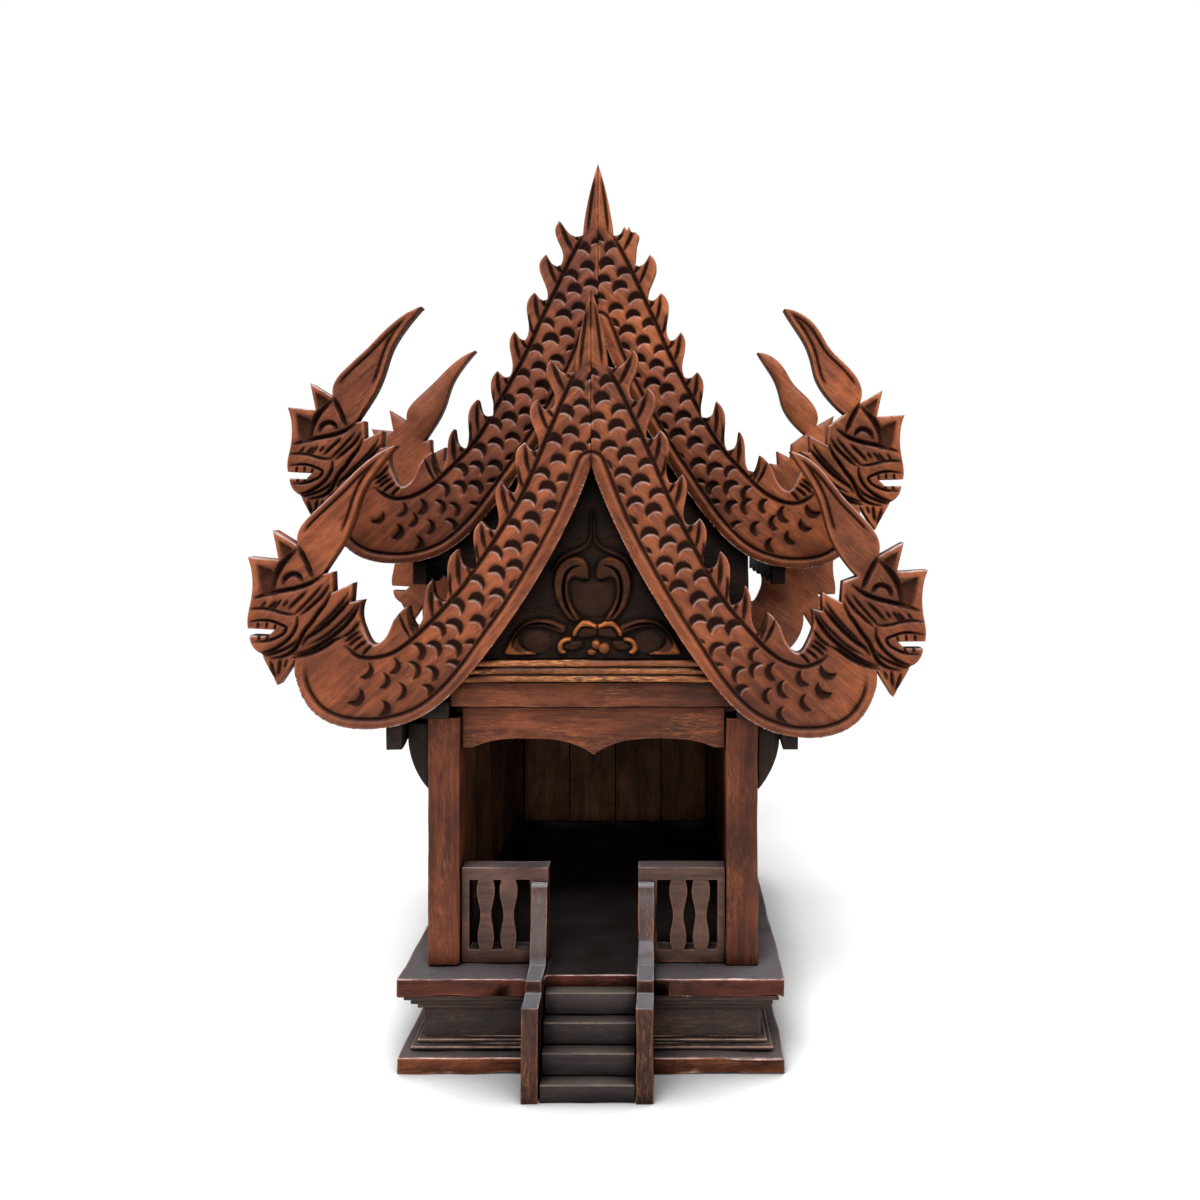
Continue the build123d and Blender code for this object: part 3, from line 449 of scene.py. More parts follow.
class Relief:
    """Carving depth over a rectangle of the board, stamped feature by feature, with its stain and rubbed wood."""

    def __init__(self, u0, u1, z0, z1, step):
        self.u0, self.z0, self.step = u0, z0, step
        self.u = np.arange(u0, u1, step)
        self.z = np.arange(z0, z1, step)
        self.depth = np.zeros((len(self.z), len(self.u)))
        self.stain = np.zeros(self.depth.shape)
        self.wear = np.zeros(self.depth.shape)

    def window(self, line, reach):
        low, high = line.min(0) - reach, line.max(0) + reach
        i0 = max(0, int((low[0] - self.u0) / self.step))
        i1 = min(len(self.u), int((high[0] - self.u0) / self.step) + 2)
        j0 = max(0, int((low[1] - self.z0) / self.step))
        j1 = min(len(self.z), int((high[1] - self.z0) / self.step) + 2)
        uu, zz = np.meshgrid(self.u[i0:i1], self.z[j0:j1])
        return (slice(j0, j1), slice(i0, i1)), np.column_stack([uu.ravel(), zz.ravel()]), uu.shape

    def stamp(self, where, shape, depth, stain=None, wear=None):
        for grid, values in ((self.depth, depth), (self.stain, stain), (self.wear, wear)):
            if values is not None:
                grid[where] = np.maximum(grid[where], np.reshape(values, shape))

    def groove(self, points, width, depth, taper=0.22, dark=0.95):
        """V cut with a rounded floor and rubbed lips; it thins out towards both ends."""
        line = smooth_line(points)
        where, spots, shape = self.window(line, width + 2)
        dist, length, _, run = measure(spots, line)
        share = np.clip(length / run, 0, 1)
        ends = np.clip(np.minimum(share, 1 - share) / taper, 0, 1) ** 0.6
        half = width / 2 * (0.4 + 0.6 * ends)
        cut = np.clip(1 - dist / half, 0, 1)
        cut = cut * (1.35 - 0.35 * cut) * depth * (0.35 + 0.65 * ends)
        self.stamp(where, shape, cut, np.clip(1.35 - dist / half, 0, 0.35) / 0.35 * dark * (0.6 + 0.4 * ends),
                   np.clip(1 - np.abs(dist - half - 0.8) / 0.8, 0, 1) * 0.55 * ends)

    def field(self, points, depth, slope=1.1, dark=0.8):
        """Ground sunk inside a closed outline, with sloping sides."""
        line = np.array(points + points[:1], float)
        where, spots, shape = self.window(line, 1)
        dist, _, _, _ = measure(spots, line)
        sunk = np.where(within(spots, line), np.clip(dist / slope, 0, 1), 0)
        self.stamp(where, shape, sunk * depth, sunk * dark)

    def blurred(self, grid, radius):
        size = radius / self.step
        reach = int(2 * size)
        kernel = np.exp(-0.5 * (np.arange(-reach, reach + 1) / size) ** 2)
        kernel /= kernel.sum()
        out = np.apply_along_axis(lambda row: np.convolve(row, kernel, mode="same"), 1, grid)
        return np.apply_along_axis(lambda row: np.convolve(row, kernel, mode="same"), 0, out)

    def soften(self, radius, fall, creep):
        """The face falls a little towards every cut, and the dark wax has crept out around it."""
        self.depth = self.depth + fall * self.blurred(self.depth, radius)
        halo = np.clip(creep * self.blurred(self.stain, radius), 0, 0.5) * (1 - 0.8 * self.wear)
        self.stain = np.maximum(self.stain, halo)

    def sample(self, grid, u, z):
        x = np.clip((u - self.u0) / self.step, 0, len(self.u) - 1.001)
        y = np.clip((z - self.z0) / self.step, 0, len(self.z) - 1.001)
        i, j = x.astype(int), y.astype(int)
        fx, fy = x - i, y - j
        return (grid[j, i] * (1 - fx) * (1 - fy) + grid[j, i + 1] * fx * (1 - fy)
                + grid[j + 1, i] * (1 - fx) * fy + grid[j + 1, i + 1] * fx * fy)


def within(points, loop):
    """Which points lie inside a closed loop (its last point repeats its first)."""
    inside = np.zeros(len(points), bool)
    x, y = points[:, 0], points[:, 1]
    for a, b in zip(loop, loop[1:]):
        if a[1] == b[1]:
            continue
        spans = (a[1] > y) != (b[1] > y)
        cross = (b[0] - a[0]) * (y - a[1]) / (b[1] - a[1]) + a[0]
        inside ^= spans & (x < cross)
    return inside


def on_board(points, side, tier, crest=False):
    """Carries template points to one board as it was sawn: turned about the ridge, raised, its crest drawn up."""
    out = []
    for u, z in points:
        turn = HANG[side][tier] * min(1.0, u / 150.0)
        lift = LIFT[side][tier] * max(0.0, min(1.0, (95 - u) / 50, (u + 8) / 50)) if crest else 0.0
        out.append((u - turn * (RIDGE_Z - z) + 0.3 * lift * max(0.0, min(1.0, u / 20)),
                    z - turn * u + lift + (TIER_RISE if tier == "upper" else 0.0)))
    return out


def offset_line(line, distance):
    """A line moved to its right by a distance."""
    ahead = np.gradient(line, axis=0)
    ahead /= np.hypot(ahead[:, 0], ahead[:, 1])[:, None]
    return line + np.column_stack([ahead[:, 1], -ahead[:, 0]]) * distance


# columns of scales: distance in from the crest groove, and the share of a row by which each is staggered
SCALE_COLUMNS = ((6.6, 0.0), (15.2, 0.5), (24.4, 0.0), (33.8, 0.5))
ROW_PITCH = 21.5
NECK_PITCH = 14.5


def carve_scales(relief, spots, crest, room, rng):
    """Crescent gouges, each above the round end of a scale that points up to the ridge."""
    run = np.concatenate([[0], np.cumsum(np.hypot(*np.diff(crest, axis=0).T))])
    along = np.gradient(crest, axis=0)
    s = -0.3 * ROW_PITCH
    while s < run[-1]:
        bend = min(1.0, max(0.0, (s / run[-1] - 0.66) / 0.22))
        pitch = ROW_PITCH + (NECK_PITCH - ROW_PITCH) * bend + rng.uniform(-0.9, 0.9)
        row = s
        s += pitch
        for inset, stagger in SCALE_COLUMNS:
            at = row + stagger * pitch + rng.uniform(-1.3, 1.3)
            if not 0 < at < run[-1]:
                continue
            back = np.array([-np.interp(at, run, along[:, 0]), -np.interp(at, run, along[:, 1])])
            back /= np.hypot(*back)
            root = np.array([np.interp(at, run, crest[:, 0]), np.interp(at, run, crest[:, 1])])
            centre = root + np.array([-back[1], back[0]]) * (inset + rng.uniform(-0.8, 0.8))
            heading = math.atan2(back[1], back[0]) + math.radians(-11 + 34 * bend + rng.uniform(-7, 7))
            radius = rng.uniform(5.8, 6.8)
            shift = rng.uniform(4.8, 7.0) - 0.9 * bend
            if centre[0] < -3 or centre[0] > 172:
                continue
            near = np.hypot(*(spots - centre).T) < radius * 2 + 5
            du, dz = (spots[near] - centre).T
            p = du * math.cos(heading) + dz * math.sin(heading)
            q = -du * math.sin(heading) + dz * math.cos(heading)
            a = np.hypot(p, q) - radius
            b = radius * 1.02 - np.hypot(p - shift, q)
            ragged = 0.22 * np.sin(q * 2.3 + centre[0])
            moon = np.clip((b + ragged) / 0.5, 0, 1) * np.clip((a + 0.3) / 0.5, 0, 1)
            ramp = np.clip(b, 0, None) / np.maximum(np.maximum(a, 0) + np.maximum(b, 0), 0.05)
            deep = (2.1 + 0.12 * shift) * ramp ** 0.75 * moon * np.clip((a + b) / 2.4, 0, 1)
            top = np.clip((p / radius - 0.12) / 0.3, 0, 1)
            round_end = np.clip((a + 2.4) / 2.4, 0, 1) ** 2 * 0.55 * (a < 0) * top
            # the lune is dark: stain, with painted shade under its overhanging edge
            dark = np.clip((b + ragged) / 0.45, 0, 1) * np.clip((a - 0.15) / 0.35, 0, 1)
            # the rounded end below each lune, stored as wear: rubbed wood with a painted highlight where it faces up
            lip = np.clip(1 - np.abs(a + 0.4) / 0.8, 0, 1) * top * 0.95
            gentle = room[near]
            relief["depth"][near] = np.maximum(relief["depth"][near], np.maximum(deep, round_end) * gentle)
            relief["stain"][near] = np.maximum(relief["stain"][near], dark * gentle)
            relief["wear"][near] = np.maximum(relief["wear"][near], lip * gentle)


def carve_naga(side, tier):
    """The carving of one board: scales, rim, crest groove, flames, head and finial."""
    rng = random.Random(11 + 3 * len(side) + 7 * len(tier) + (5 if tier == "upper" else 0))
    rise = TIER_RISE if tier == "upper" else 0.0
    relief = Relief(-6.0, 246.0, 222.0 + rise, 572.0 + rise, RASTER_STEP)
    under = smooth_line(on_board(UNDER, side, tier), 3)
    crest = smooth_line(on_board(CREST, side, tier, crest=True), 3)
    top = crest[0] + np.array((-crest[0][0], 8.0))
    uu, zz = np.meshgrid(relief.u, relief.z)
    spots = np.column_stack([uu.ravel(), zz.ravel()])
    body = within(spots, np.vstack([under, crest[::-1], [top], under[:1]]))
    inner = spots[body]
    to_under, under_run, _, _ = measure(inner, under)
    to_crest, _, _, _ = measure(inner, crest)
    layers = {name: np.zeros(len(inner)) for name in ("depth", "stain", "wear")}

    # rim along the lower edge: a groove, then a rounded strip that falls away to the edge
    total = float(np.hypot(*np.diff(under, axis=0).T).sum())
    bend = np.clip((under_run / total - 0.42) / 0.2, 0, 1)
    rim = 9.6 - 2.4 * bend
    fade = np.clip((total - under_run) / 16, 0, 1)
    gap = to_under - rim
    trench = np.clip(1 - np.abs(gap) / 1.9, 0, 1)
    strip = np.clip(-gap / rim - 0.35, 0, 1) ** 1.4 * 4.2
    layers["depth"] = np.maximum(trench * 2.4, strip) * fade
    layers["stain"] = np.clip(1.5 - np.abs(gap) / 1.5, 0, 1) * fade * 0.97
    layers["wear"] = np.clip(1 - np.abs(gap + 3.0) / 1.4, 0, 1) * fade * 0.8
    # the body is gently rounded between its grooves
    across = np.clip(to_crest / np.maximum(to_crest + np.maximum(gap, 0), 1), 0, 1)
    layers["depth"] = np.maximum(layers["depth"], np.where(gap > 0, np.abs(across - 0.5) ** 2 * 3.6, 0))
    room = np.clip((gap - 1.0) / 1.0, 0, 1) * np.clip((to_crest - 0.9) / 1.0, 0, 1)
    carve_scales(layers, inner, crest, room, rng)
    for name, grid in (("depth", relief.depth), ("stain", relief.stain), ("wear", relief.wear)):
        grid[body.reshape(uu.shape)] = layers[name]

    relief.groove([tuple(p) for p in crest[::3]] + [tuple(crest[-1])], 3.0, 2.6, taper=0.03)
    # flames: grooves run up from the crest groove to the tip, the hollow and the bulge of each
    tips = [np.array(p) for p in on_board(FLAME_TIPS, side, tier, crest=True)]
    notches = [np.array(p) for p in on_board(FLAME_NOTCHES, side, tier, crest=True)]
    for index, (low, high, tip) in enumerate(zip(notches, notches[1:], tips)):
        roots = [crest[int(np.hypot(*(crest - notch).T).argmin())] for notch in (low, high)]
        cuts = [(0.44, root_to(roots, 0.44) + (tip - root_to(roots, 0.44)) * 0.93, 2.9),
                (0.80, tip + (high - tip) * 0.52 + np.array((-0.8, -1.6)), 2.6)]
        if index in (0, 2, 3, 5):
            cuts.append((0.14, low + (tip - low) * 0.52 + np.array((1.2, 0.2)), 2.3))
        for share, end, width in cuts:
            root = root_to(roots, share)
            middle = (root + end) / 2 + np.array((0.7, -0.3))
            relief.groove([tuple(root), tuple(middle), tuple(end)], width * rng.uniform(0.9, 1.15), 2.4, taper=0.35)
    for points, width, depth in HEAD_LINES:
        relief.groove(on_board(points, side, tier), width * 1.45, depth * 1.35)
    for points, depth in HEAD_FIELDS:
        relief.field(on_board(points, side, tier), depth)
    # finial: dark cuts beside the seam's ridge, and soot gathered along the seam
    relief.groove(on_board([(7.4, 489), (6.4, 501), (4.4, 518), (2.6, 532)], side, tier, crest=True), 2.3, 1.8)
    seam = np.clip(1 - uu / 5.0, 0, 1) * np.clip((uu + 6) / 6, 0, 1)
    darkening = np.array([noise.noise(Vector((z * 0.11, u * 0.2, 4.0 + rise))) for z, u in
                     zip(zz[:, ::8].ravel(), uu[:, ::8].ravel())]).reshape(zz[:, ::8].shape)
    darkening = np.repeat(darkening, 8, axis=1)[:, :uu.shape[1]]
    relief.stain = np.maximum(relief.stain, seam * np.clip(darkening * 3.0 + 0.25, 0, 0.85))
    relief.soften(2.0, 0.7, 0.85)
    return relief


def root_to(roots, share):
    return roots[0] + (roots[1] - roots[0]) * share


def face_loop(node_name, rear=False):
    """The outline of a board's outer face, from its CAD mesh, as X and Z millimetres in order."""
    mesh = nodes[node_name].data
    coords = np.empty(len(mesh.vertices) * 3)
    mesh.vertices.foreach_get("co", coords)
    coords = coords.reshape(-1, 3) / MM
    outer = coords[:, 1].max() if rear else coords[:, 1].min()
    count = {}
    for polygon in mesh.polygons:
        places = [coords[i] for i in polygon.vertices]
        if all(abs(p[1] - outer) < 0.01 for p in places):
            keys = [(round(p[0], 3), round(p[2], 3)) for p in places]
            for a, b in zip(keys, keys[1:] + keys[:1]):
                if (b, a) in count:
                    del count[(b, a)]
                else:
                    count[(a, b)] = True
    follow = dict(count.keys())
    start = next(iter(follow))
    loop = [start]
    while True:
        step = follow[loop[-1]]
        if step == start:
            break
        loop.append(step)
    return np.array(loop), outer


def resample(loop, spacing):
    """A closed loop with extra points so that no side is longer than spacing."""
    out = []
    for a, b in zip(loop, np.roll(loop, -1, axis=0)):
        count = max(1, int(math.ceil(np.hypot(*(b - a)) / spacing)))
        for index in range(count):
            out.append(a + (b - a) * index / count)
    return np.array(out)


def kd_of(points):
    tree = KDTree(len(points))
    for index, p in enumerate(points):
        tree.insert((p[0], p[1], 0), index)
    tree.balance()
    return tree


BACK_WEAR = 0.32     # the plain back of a board took less stain


def relief_board(name, loop, front, back, depth_at, attributes_at, material, step, sag=0.9):
    """A board whose front is a dense surface sunk by depth_at, with plain sides and back."""
    edge = resample(loop, step * 1.1)
    closed_loop = np.vstack([edge, edge[:1]])
    area = float(np.sum(edge[:, 0] * np.roll(edge[:, 1], -1) - np.roll(edge[:, 0], -1) * edge[:, 1]) / 2)
    if area < 0:
        edge = edge[::-1]
        closed_loop = np.vstack([edge, edge[:1]])
    tree = kd_of(resample(edge, 0.35))
    ahead = np.roll(edge, -1, axis=0) - np.roll(edge, 1, axis=0)
    ahead /= np.maximum(np.hypot(ahead[:, 0], ahead[:, 1]), 1e-9)[:, None]
    inward = np.column_stack([-ahead[:, 1], ahead[:, 0]])

    def clear(points, least):
        keep = np.array([tree.find((p[0], p[1], 0))[2] > least for p in points])
        return keep & within(points, closed_loop)

    ring = edge + inward * 0.5
    ring = ring[clear(ring, 0.4)]
    low, high = edge.min(0), edge.max(0)
    grid = []
    for index, z in enumerate(np.arange(low[1], high[1], step * 0.87)):
        a, b = closed_loop[:-1], closed_loop[1:]
        spans = (a[:, 1] > z) != (b[:, 1] > z)
        a, b = a[spans], b[spans]
        cuts = np.sort((b[:, 0] - a[:, 0]) * (z - a[:, 1]) / (b[:, 1] - a[:, 1]) + a[:, 0])
        start = low[0] + (step / 2 if index % 2 else 0)
        for enter, leave in zip(cuts[::2], cuts[1::2]):
            first_x = start + math.ceil((enter - start) / step) * step
            grid += [(x, z) for x in np.arange(first_x, leave, step)]
    grid = np.array(grid)
    grid = grid[np.array([tree.find((p[0], p[1], 0))[2] > 0.5 + step * 0.55 for p in grid])]
    points = np.vstack([edge, ring, grid])
    count = len(edge)
    sides = [(i, (i + 1) % count) for i in range(count)]
    verts, _, faces, origin, _, _ = delaunay_2d_cdt([Vector(p) for p in points], sides, [list(range(count))], 1, 1e-4)
    flat = np.array([(v[0], v[1]) for v in verts])
    far = np.array([tree.find((p[0], p[1], 0))[2] for p in flat])
    depth = depth_at(flat, far)
    over = 1.0
    depth = np.maximum(depth, 0) + np.where(far < over, over - np.sqrt(np.maximum(0, over ** 2 - (over - far) ** 2)), 0) * sag
    stain, wear = attributes_at(flat, far)
    first = {}
    for index, sources in enumerate(origin):
        for source in sources:
            if source < count:
                first[source] = index
    y_front = front + np.minimum(depth, (back - front) * 0.55)
    places = [(x * MM, y * MM, z * MM) for (x, z), y in zip(flat, y_front)]
    loop_front = [first[i] for i in range(count)]
    faces = [tuple(f) for f in faces]
    # sides: two bands down to the back edge
    base = len(places)
    mid_y = front + (back - front) * 0.5
    for y, inset in ((mid_y, 0.0), (back - 0.8, 0.0), (back, 0.7)):
        for p, n in zip(edge, inward):
            q = p + n * inset
            places.append((q[0] * MM, y * MM, q[1] * MM))
    rings = [loop_front] + [[base + band * count + i for i in range(count)] for band in range(3)]
    quads = []
    for upper, lower in zip(rings, rings[1:]):
        for i in range(count):
            j = (i + 1) % count
            quads.append((upper[j], upper[i], lower[i], lower[j]))
    back_ring = rings[-1]
    back_points = [Vector((places[i][0] / MM, places[i][2] / MM)) for i in back_ring]
    _, _, back_faces, back_origin, _, _ = delaunay_2d_cdt(back_points, sides, [list(range(count))], 1, 1e-4)
    lookup = {index: back_ring[sources[0]] for index, sources in enumerate(back_origin) if sources}
    back_faces = [tuple(lookup[i] for i in reversed(f)) for f in back_faces if all(i in lookup for i in f)]
    mesh = bpy.data.meshes.new(name)
    mesh.from_pydata(places, [], faces + quads + back_faces)
    for label, values in (("stain", stain), ("wear", wear)):
        layer = mesh.attributes.new(label, "FLOAT", "POINT")
        full = np.zeros(len(places))
        full[:len(values)] = values
        if label == "wear":
            full[-count:] = BACK_WEAR
        layer.data.foreach_set("value", full)
    mesh.validate()
    mesh.shade_smooth()
    mesh.set_sharp_from_angle(angle=math.radians(50))
    mesh.materials.append(material)
    piece = bpy.data.objects.new(name, mesh)
    bpy.context.scene.collection.objects.link(piece)
    return piece


def turn_to_rear(mesh):
    mesh.transform(Matrix.Diagonal((1, -1, 1, 1)))
    mesh.flip_normals()


def mirrored(piece, name):
    """The same board for the rear of the house."""
    mesh = piece.data.copy()
    mesh.name = name
    turn_to_rear(mesh)
    twin = bpy.data.objects.new(name, mesh)
    bpy.context.scene.collection.objects.link(twin)
    return twin


def naga_board(name, loop, front, side, tier, relief):
    sign = -1.0 if side == "left" else 1.0
    spot = len(name) * 0.37 + (9 if tier == "upper" else 0) + (4 if side == "left" else 0)

    def depth_at(flat, far):
        u, z = flat[:, 0] * sign, flat[:, 1]
        depth = relief.sample(relief.depth, u, z)
        horn = np.clip((z - HORN_FOOT[tier]) / 6, 0, 1) * (u > 118)
        depth = np.maximum(depth, np.clip(1 - np.abs(far - 4.2) / 1.5, 0, 1) * 2.2 * horn)
        lumps = np.array([noise.noise(Vector((x * 0.05 + spot, y * 0.05, spot))) for x, y in flat])
        return depth + 0.35 + 0.35 * lumps

    def attributes_at(flat, far):
        u, z = flat[:, 0] * sign, flat[:, 1]
        stain = relief.sample(relief.stain, u, z)
        wear = relief.sample(relief.wear, u, z)
        horn = np.clip((z - HORN_FOOT[tier]) / 6, 0, 1) * (u > 118)
        stain = np.maximum(stain, np.clip(1.5 - np.abs(far - 4.2) / 1.0, 0, 1) * horn * 0.95)
        edge = np.clip(1.5 - far / 1.3, 0, 1)
        crown = np.clip((u - 200) / 15, 0, 1) * np.clip((z - HORN_FOOT[tier] + 46) / 10, 0, 1)
        edge = np.maximum(edge, crown * np.clip(1 - (far - 3.5) / 1.5, 0, 1) * 0.9)
        return stain, np.clip(np.maximum(wear, edge) * (1 - 0.9 * stain), 0, 1)

    return relief_board(name, loop, front, front + 12.0, depth_at, attributes_at,
                        finish["naga_%s_%s" % (tier, side)], NAGA_STEP)


HORN_FOOT = {"lower": 374.0, "upper": 374.0 + TIER_RISE}
NAGA_STEP = 0.93
for tier in ("lower", "upper"):
    for side in ("left", "right"):
        label = "%s_%s" % (tier, side)
        loop, front = face_loop("naga_front_" + label)
        relief = carve_naga(side, tier)
        board = naga_board("carved_naga_front_" + label, loop, front, side, tier, relief)
        if label == "upper_right":
            # its top flame is whole at the rear
            loop, _ = face_loop("naga_rear_" + label, rear=True)
            twin = naga_board("carved_naga_rear_" + label, loop, front, side, tier, relief)
            turn_to_rear(twin.data)
        else:
            twin = mirrored(board, "carved_naga_rear_" + label)
        for piece, end in ((board, "front"), (twin, "rear")):
            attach(piece, "root")
            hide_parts("naga_%s_%s" % (end, label))

# ------------------------------------------------------------------ pediment carving, world millimetres
# Everything is drawn on the right half and mirrored.  Raised parts: outline, crown height.
# Raised parts: outline, height of its crown, and how much of it is rubbed to gold.
PEDIMENT_PARTS = [
    # broad band of the heart, ending in the tongue beside its notch
    ([(9, 312.6), (15, 312.5), (21, 319), (25.5, 327), (27.6, 336), (27, 345), (23.5, 352.5), (17, 357),
      (10.5, 357.8), (5, 355), (2.4, 349.5), (2.4, 343), (5, 341.8), (9, 342.6), (13, 343.8), (15.8, 341.5),
      (17, 336), (16.6, 330), (14, 322), (9, 314.5)], 0.95, 0.19),
    # ogee drawn over the heart
    ([(29, 349), (24, 357.5), (16, 361.8), (8, 365), (3.4, 369.5), (1.9, 376), (1.4, 388), (0.3, 388), (0.4, 372),
      (2.2, 366.5), (8, 361.8), (15, 358.6), (22, 354.6), (27, 348)], 0.5, 0.05),
    # side scroll
    ([(19, 309), (30, 313), (41, 313.4), (50, 310), (56.5, 303), (60.5, 295), (61.5, 288.6), (40, 288.6),
      (45.5, 291.2), (50.5, 294.5), (52.5, 299), (51, 304), (46, 307.4), (38.5, 308.4), (30, 306.6),
      (22, 303.5), (19, 305)], 0.85, 0.12),
    ([(60.8, 295), (61.5, 288.6), (40, 288.6), (45.5, 291), (52, 290.8), (56, 293.5), (57.5, 298)], 0.9, 0.55),
]
FLOWER_MIDDLE = 3.4
FLOWER_PARTS = [
    ([(0.2, 306.8), (3, 307.4), (7, 308.2), (11, 307.6), (13.8, 304), (14.2, 301), (7, 300.5), (0.2, 302.6)], 0.5, 0.04),
    ([(10.6, 298), (18, 298), (23.6, 296), (24, 292.6), (16.6, 291.6), (11.1, 294.5)], 0.45, 0.04),
    ([(0.2, 310), (2.4, 310.6), (5.6, 312.4), (10.8, 312.7), (14.6, 309), (17.6, 304.6), (17.6, 301.4),
      (15.2, 301.6), (13.8, 304.4), (11, 307.8), (7, 308.4), (3, 307.4), (0.2, 306.8)], 0.98, 0.95),
    ([(18.6, 300.8), (24, 300.4), (28.2, 295.8), (28.2, 291), (25, 288.6), (21.8, 290.2), (24.2, 292.4),
      (24, 296), (21.2, 297.4), (18.2, 298)], 0.98, 0.95),
]
PEDIMENT_LINES = [
    ([(8.5, 351.6), (14, 350.4), (18.4, 346), (20.4, 338), (20, 329), (17, 320.5), (12.4, 313.5)], 2.3, 2.6),
    ([(22, 306.2), (32, 310), (42, 310.4), (50, 306.4), (55, 300), (57, 294.4)], 2.0, 2.4),
]


def mirror_x(points):
    return [(-x, z) for x, z in points]


def carve_pediment(z_low, z_high, half):
    relief = Relief(-half - 2, half + 2, z_low - 2, z_high + 2, RASTER_STEP * 0.8)
    uu, zz = np.meshgrid(relief.u, relief.z)
    land = np.zeros(uu.shape)
    gold = np.zeros(uu.shape)

    def raise_part(points, crown, gilt):
        line = smooth_line(points + points[:1], 1.5)
        where, window, shape = relief.window(line, 4)
        dist, _, _, _ = measure(window, line)
        inside = within(window, np.vstack([line, line[:1]]))
        top = np.where(inside, np.clip(dist / 1.5, 0, 1) ** 0.6, 0)
        land[where] = np.maximum(land[where], (top * crown).reshape(shape))
        gold[where] = np.maximum(gold[where], (np.where(inside, np.clip(dist / 0.7, 0, 1), 0) * gilt).reshape(shape))
        relief.stamp(where, shape, None, np.where(inside, 0, np.clip(1 - dist / 3.5, 0, 1) * 0.9))

    for points, crown, gilt in PEDIMENT_PARTS:
        raise_part(points, crown, gilt)
        raise_part(mirror_x(points), crown, gilt)
    for points, crown, gilt in FLOWER_PARTS:
        raise_part([(FLOWER_MIDDLE + x, z) for x, z in points], crown, gilt)
        raise_part([(FLOWER_MIDDLE - x, z) for x, z in points], crown, gilt)
    # domed ground inside the heart and inside each side scroll, and the seeds in the flower's heart
    domes = ((0, 328.5, 15.8, 14, 0.45, 0.035), (-39, 297.2, 10.8, 8.4, 0.5, 0.05), (39, 297.2, 10.8, 8.4, 0.5, 0.05),
             (2.4, 295.4, 3.4, 3.4, 0.9, 0.8), (8.2, 292.8, 4.2, 4.2, 0.98, 0.95), (-0.4, 290.2, 3.6, 2.2, 0.9, 0.6))
    for x, z, wide, tall, high, gilt in domes:
        dome = np.clip(1 - ((uu - x) / wide) ** 2 - ((zz - z) / tall) ** 2, 0, 1) ** 0.45
        land = np.maximum(land, dome * high)
        gold = np.maximum(gold, np.clip(dome * 2 - 0.6, 0, 1) * gilt)
    relief.depth = (1 - land) * 3.6
    relief.stain = np.where(land > 0.25, 0, relief.stain)
    for points, width, depth in PEDIMENT_LINES:
        relief.groove(points, width, depth)
        relief.groove(mirror_x(points), width, depth)
    relief.wear = np.clip(gold * (1 - relief.stain), 0, 1)
    return relief


loop, front = face_loop("pediment_front")
pediment_relief = carve_pediment(loop[:, 1].min(), loop[:, 1].max(), loop[:, 0].max())


def pediment_depth(flat, far):
    depth = pediment_relief.sample(pediment_relief.depth, flat[:, 0], flat[:, 1])
    lumps = np.array([noise.noise(Vector((x * 0.12, y * 0.12, 3.0))) for x, y in flat])
    return depth + 0.3 + 0.3 * lumps


def pediment_marks(flat, far):
    return (pediment_relief.sample(pediment_relief.stain, flat[:, 0], flat[:, 1]),
            pediment_relief.sample(pediment_relief.wear, flat[:, 0], flat[:, 1]))


board = relief_board("carved_pediment_front", loop, front, front + 8.0, pediment_depth, pediment_marks,
                     finish["carved_dark"], 0.75, sag=0.3)
twin = mirrored(board, "carved_pediment_rear")
for piece, end in ((board, "front"), (twin, "rear")):
    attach(piece, "root")
    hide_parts("pediment_" + end)

# ------------------------------------------------------------------ the other timbers
# node, finish with its grain, slot, edge rounding and unevenness in mm
PLAN = [
    ("plinth_foot", "foot_X", "base_teak", 2.2, 1.8), ("plinth_body", "waist_X", "base_teak", 0.7, 0.8),
    ("deck", "deck_X", "base_teak", 2.8, 1.7),
    ("front_beam", "frame_X", "frame_teak", 1.1, 0.8), ("rear_beam", "frame_X", "frame_teak", 1.1, 0.8),
    ("front_cornice", "band_X", "frame_teak", 0.8, 0.7), ("rear_cornice", "band_X", "frame_teak", 0.8, 0.7),
    ("front_valance", "frame_X", "frame_teak", 1.0, 0.8),
    ("upper_gable_front", "dark_X", "roof_teak", 0.9, 0.7), ("upper_gable_rear", "dark_X", "roof_teak", 0.9, 0.7),
    ("rear_wall", "wall_Z", "frame_teak", 0.7, 0.4), ("side_plates", "dark_Y", "frame_teak", 0.9, 0.7),
    ("step_boards", "dark_Y", "roof_teak", 0.9, 0.7), ("eave_brackets", "dark_Z", "frame_teak", 1.2, 0.8),
    ("fascias_lower", "dark_Y", "roof_teak", 1.2, 0.8), ("fascias_upper", "dark_Y", "roof_teak", 1.2, 0.8),
]
for side in ("left", "right"):
    PLAN += [("post_front_" + side, "post_Z", "frame_teak", 1.3, 0.9),
             ("post_rear_" + side, "post_Z", "frame_teak", 1.3, 0.9),
             ("balustrade_" + side, "rail_X", "frame_teak", 0.9, 0.7),
             ("stair_stringer_" + side, "stringer_Z", "base_teak", 1.5, 0.9),
             ("side_wall_" + side, "wall_Z", "frame_teak", 0.7, 0.5),
             ("roof_lower_" + side, "dark_Y", "roof_teak", 0.9, 0.7),
             ("roof_upper_" + side, "dark_Y", "roof_teak", 0.9, 0.7)]
for step in range(1, 5):
    PLAN.append(("stair_tread_%d" % step, "tread_X", "base_teak", 1.2, 0.9))
for node_name, look, slot, round_over, lumps in PLAN:
    timber(node_name, finish[look], round_over, lumps)


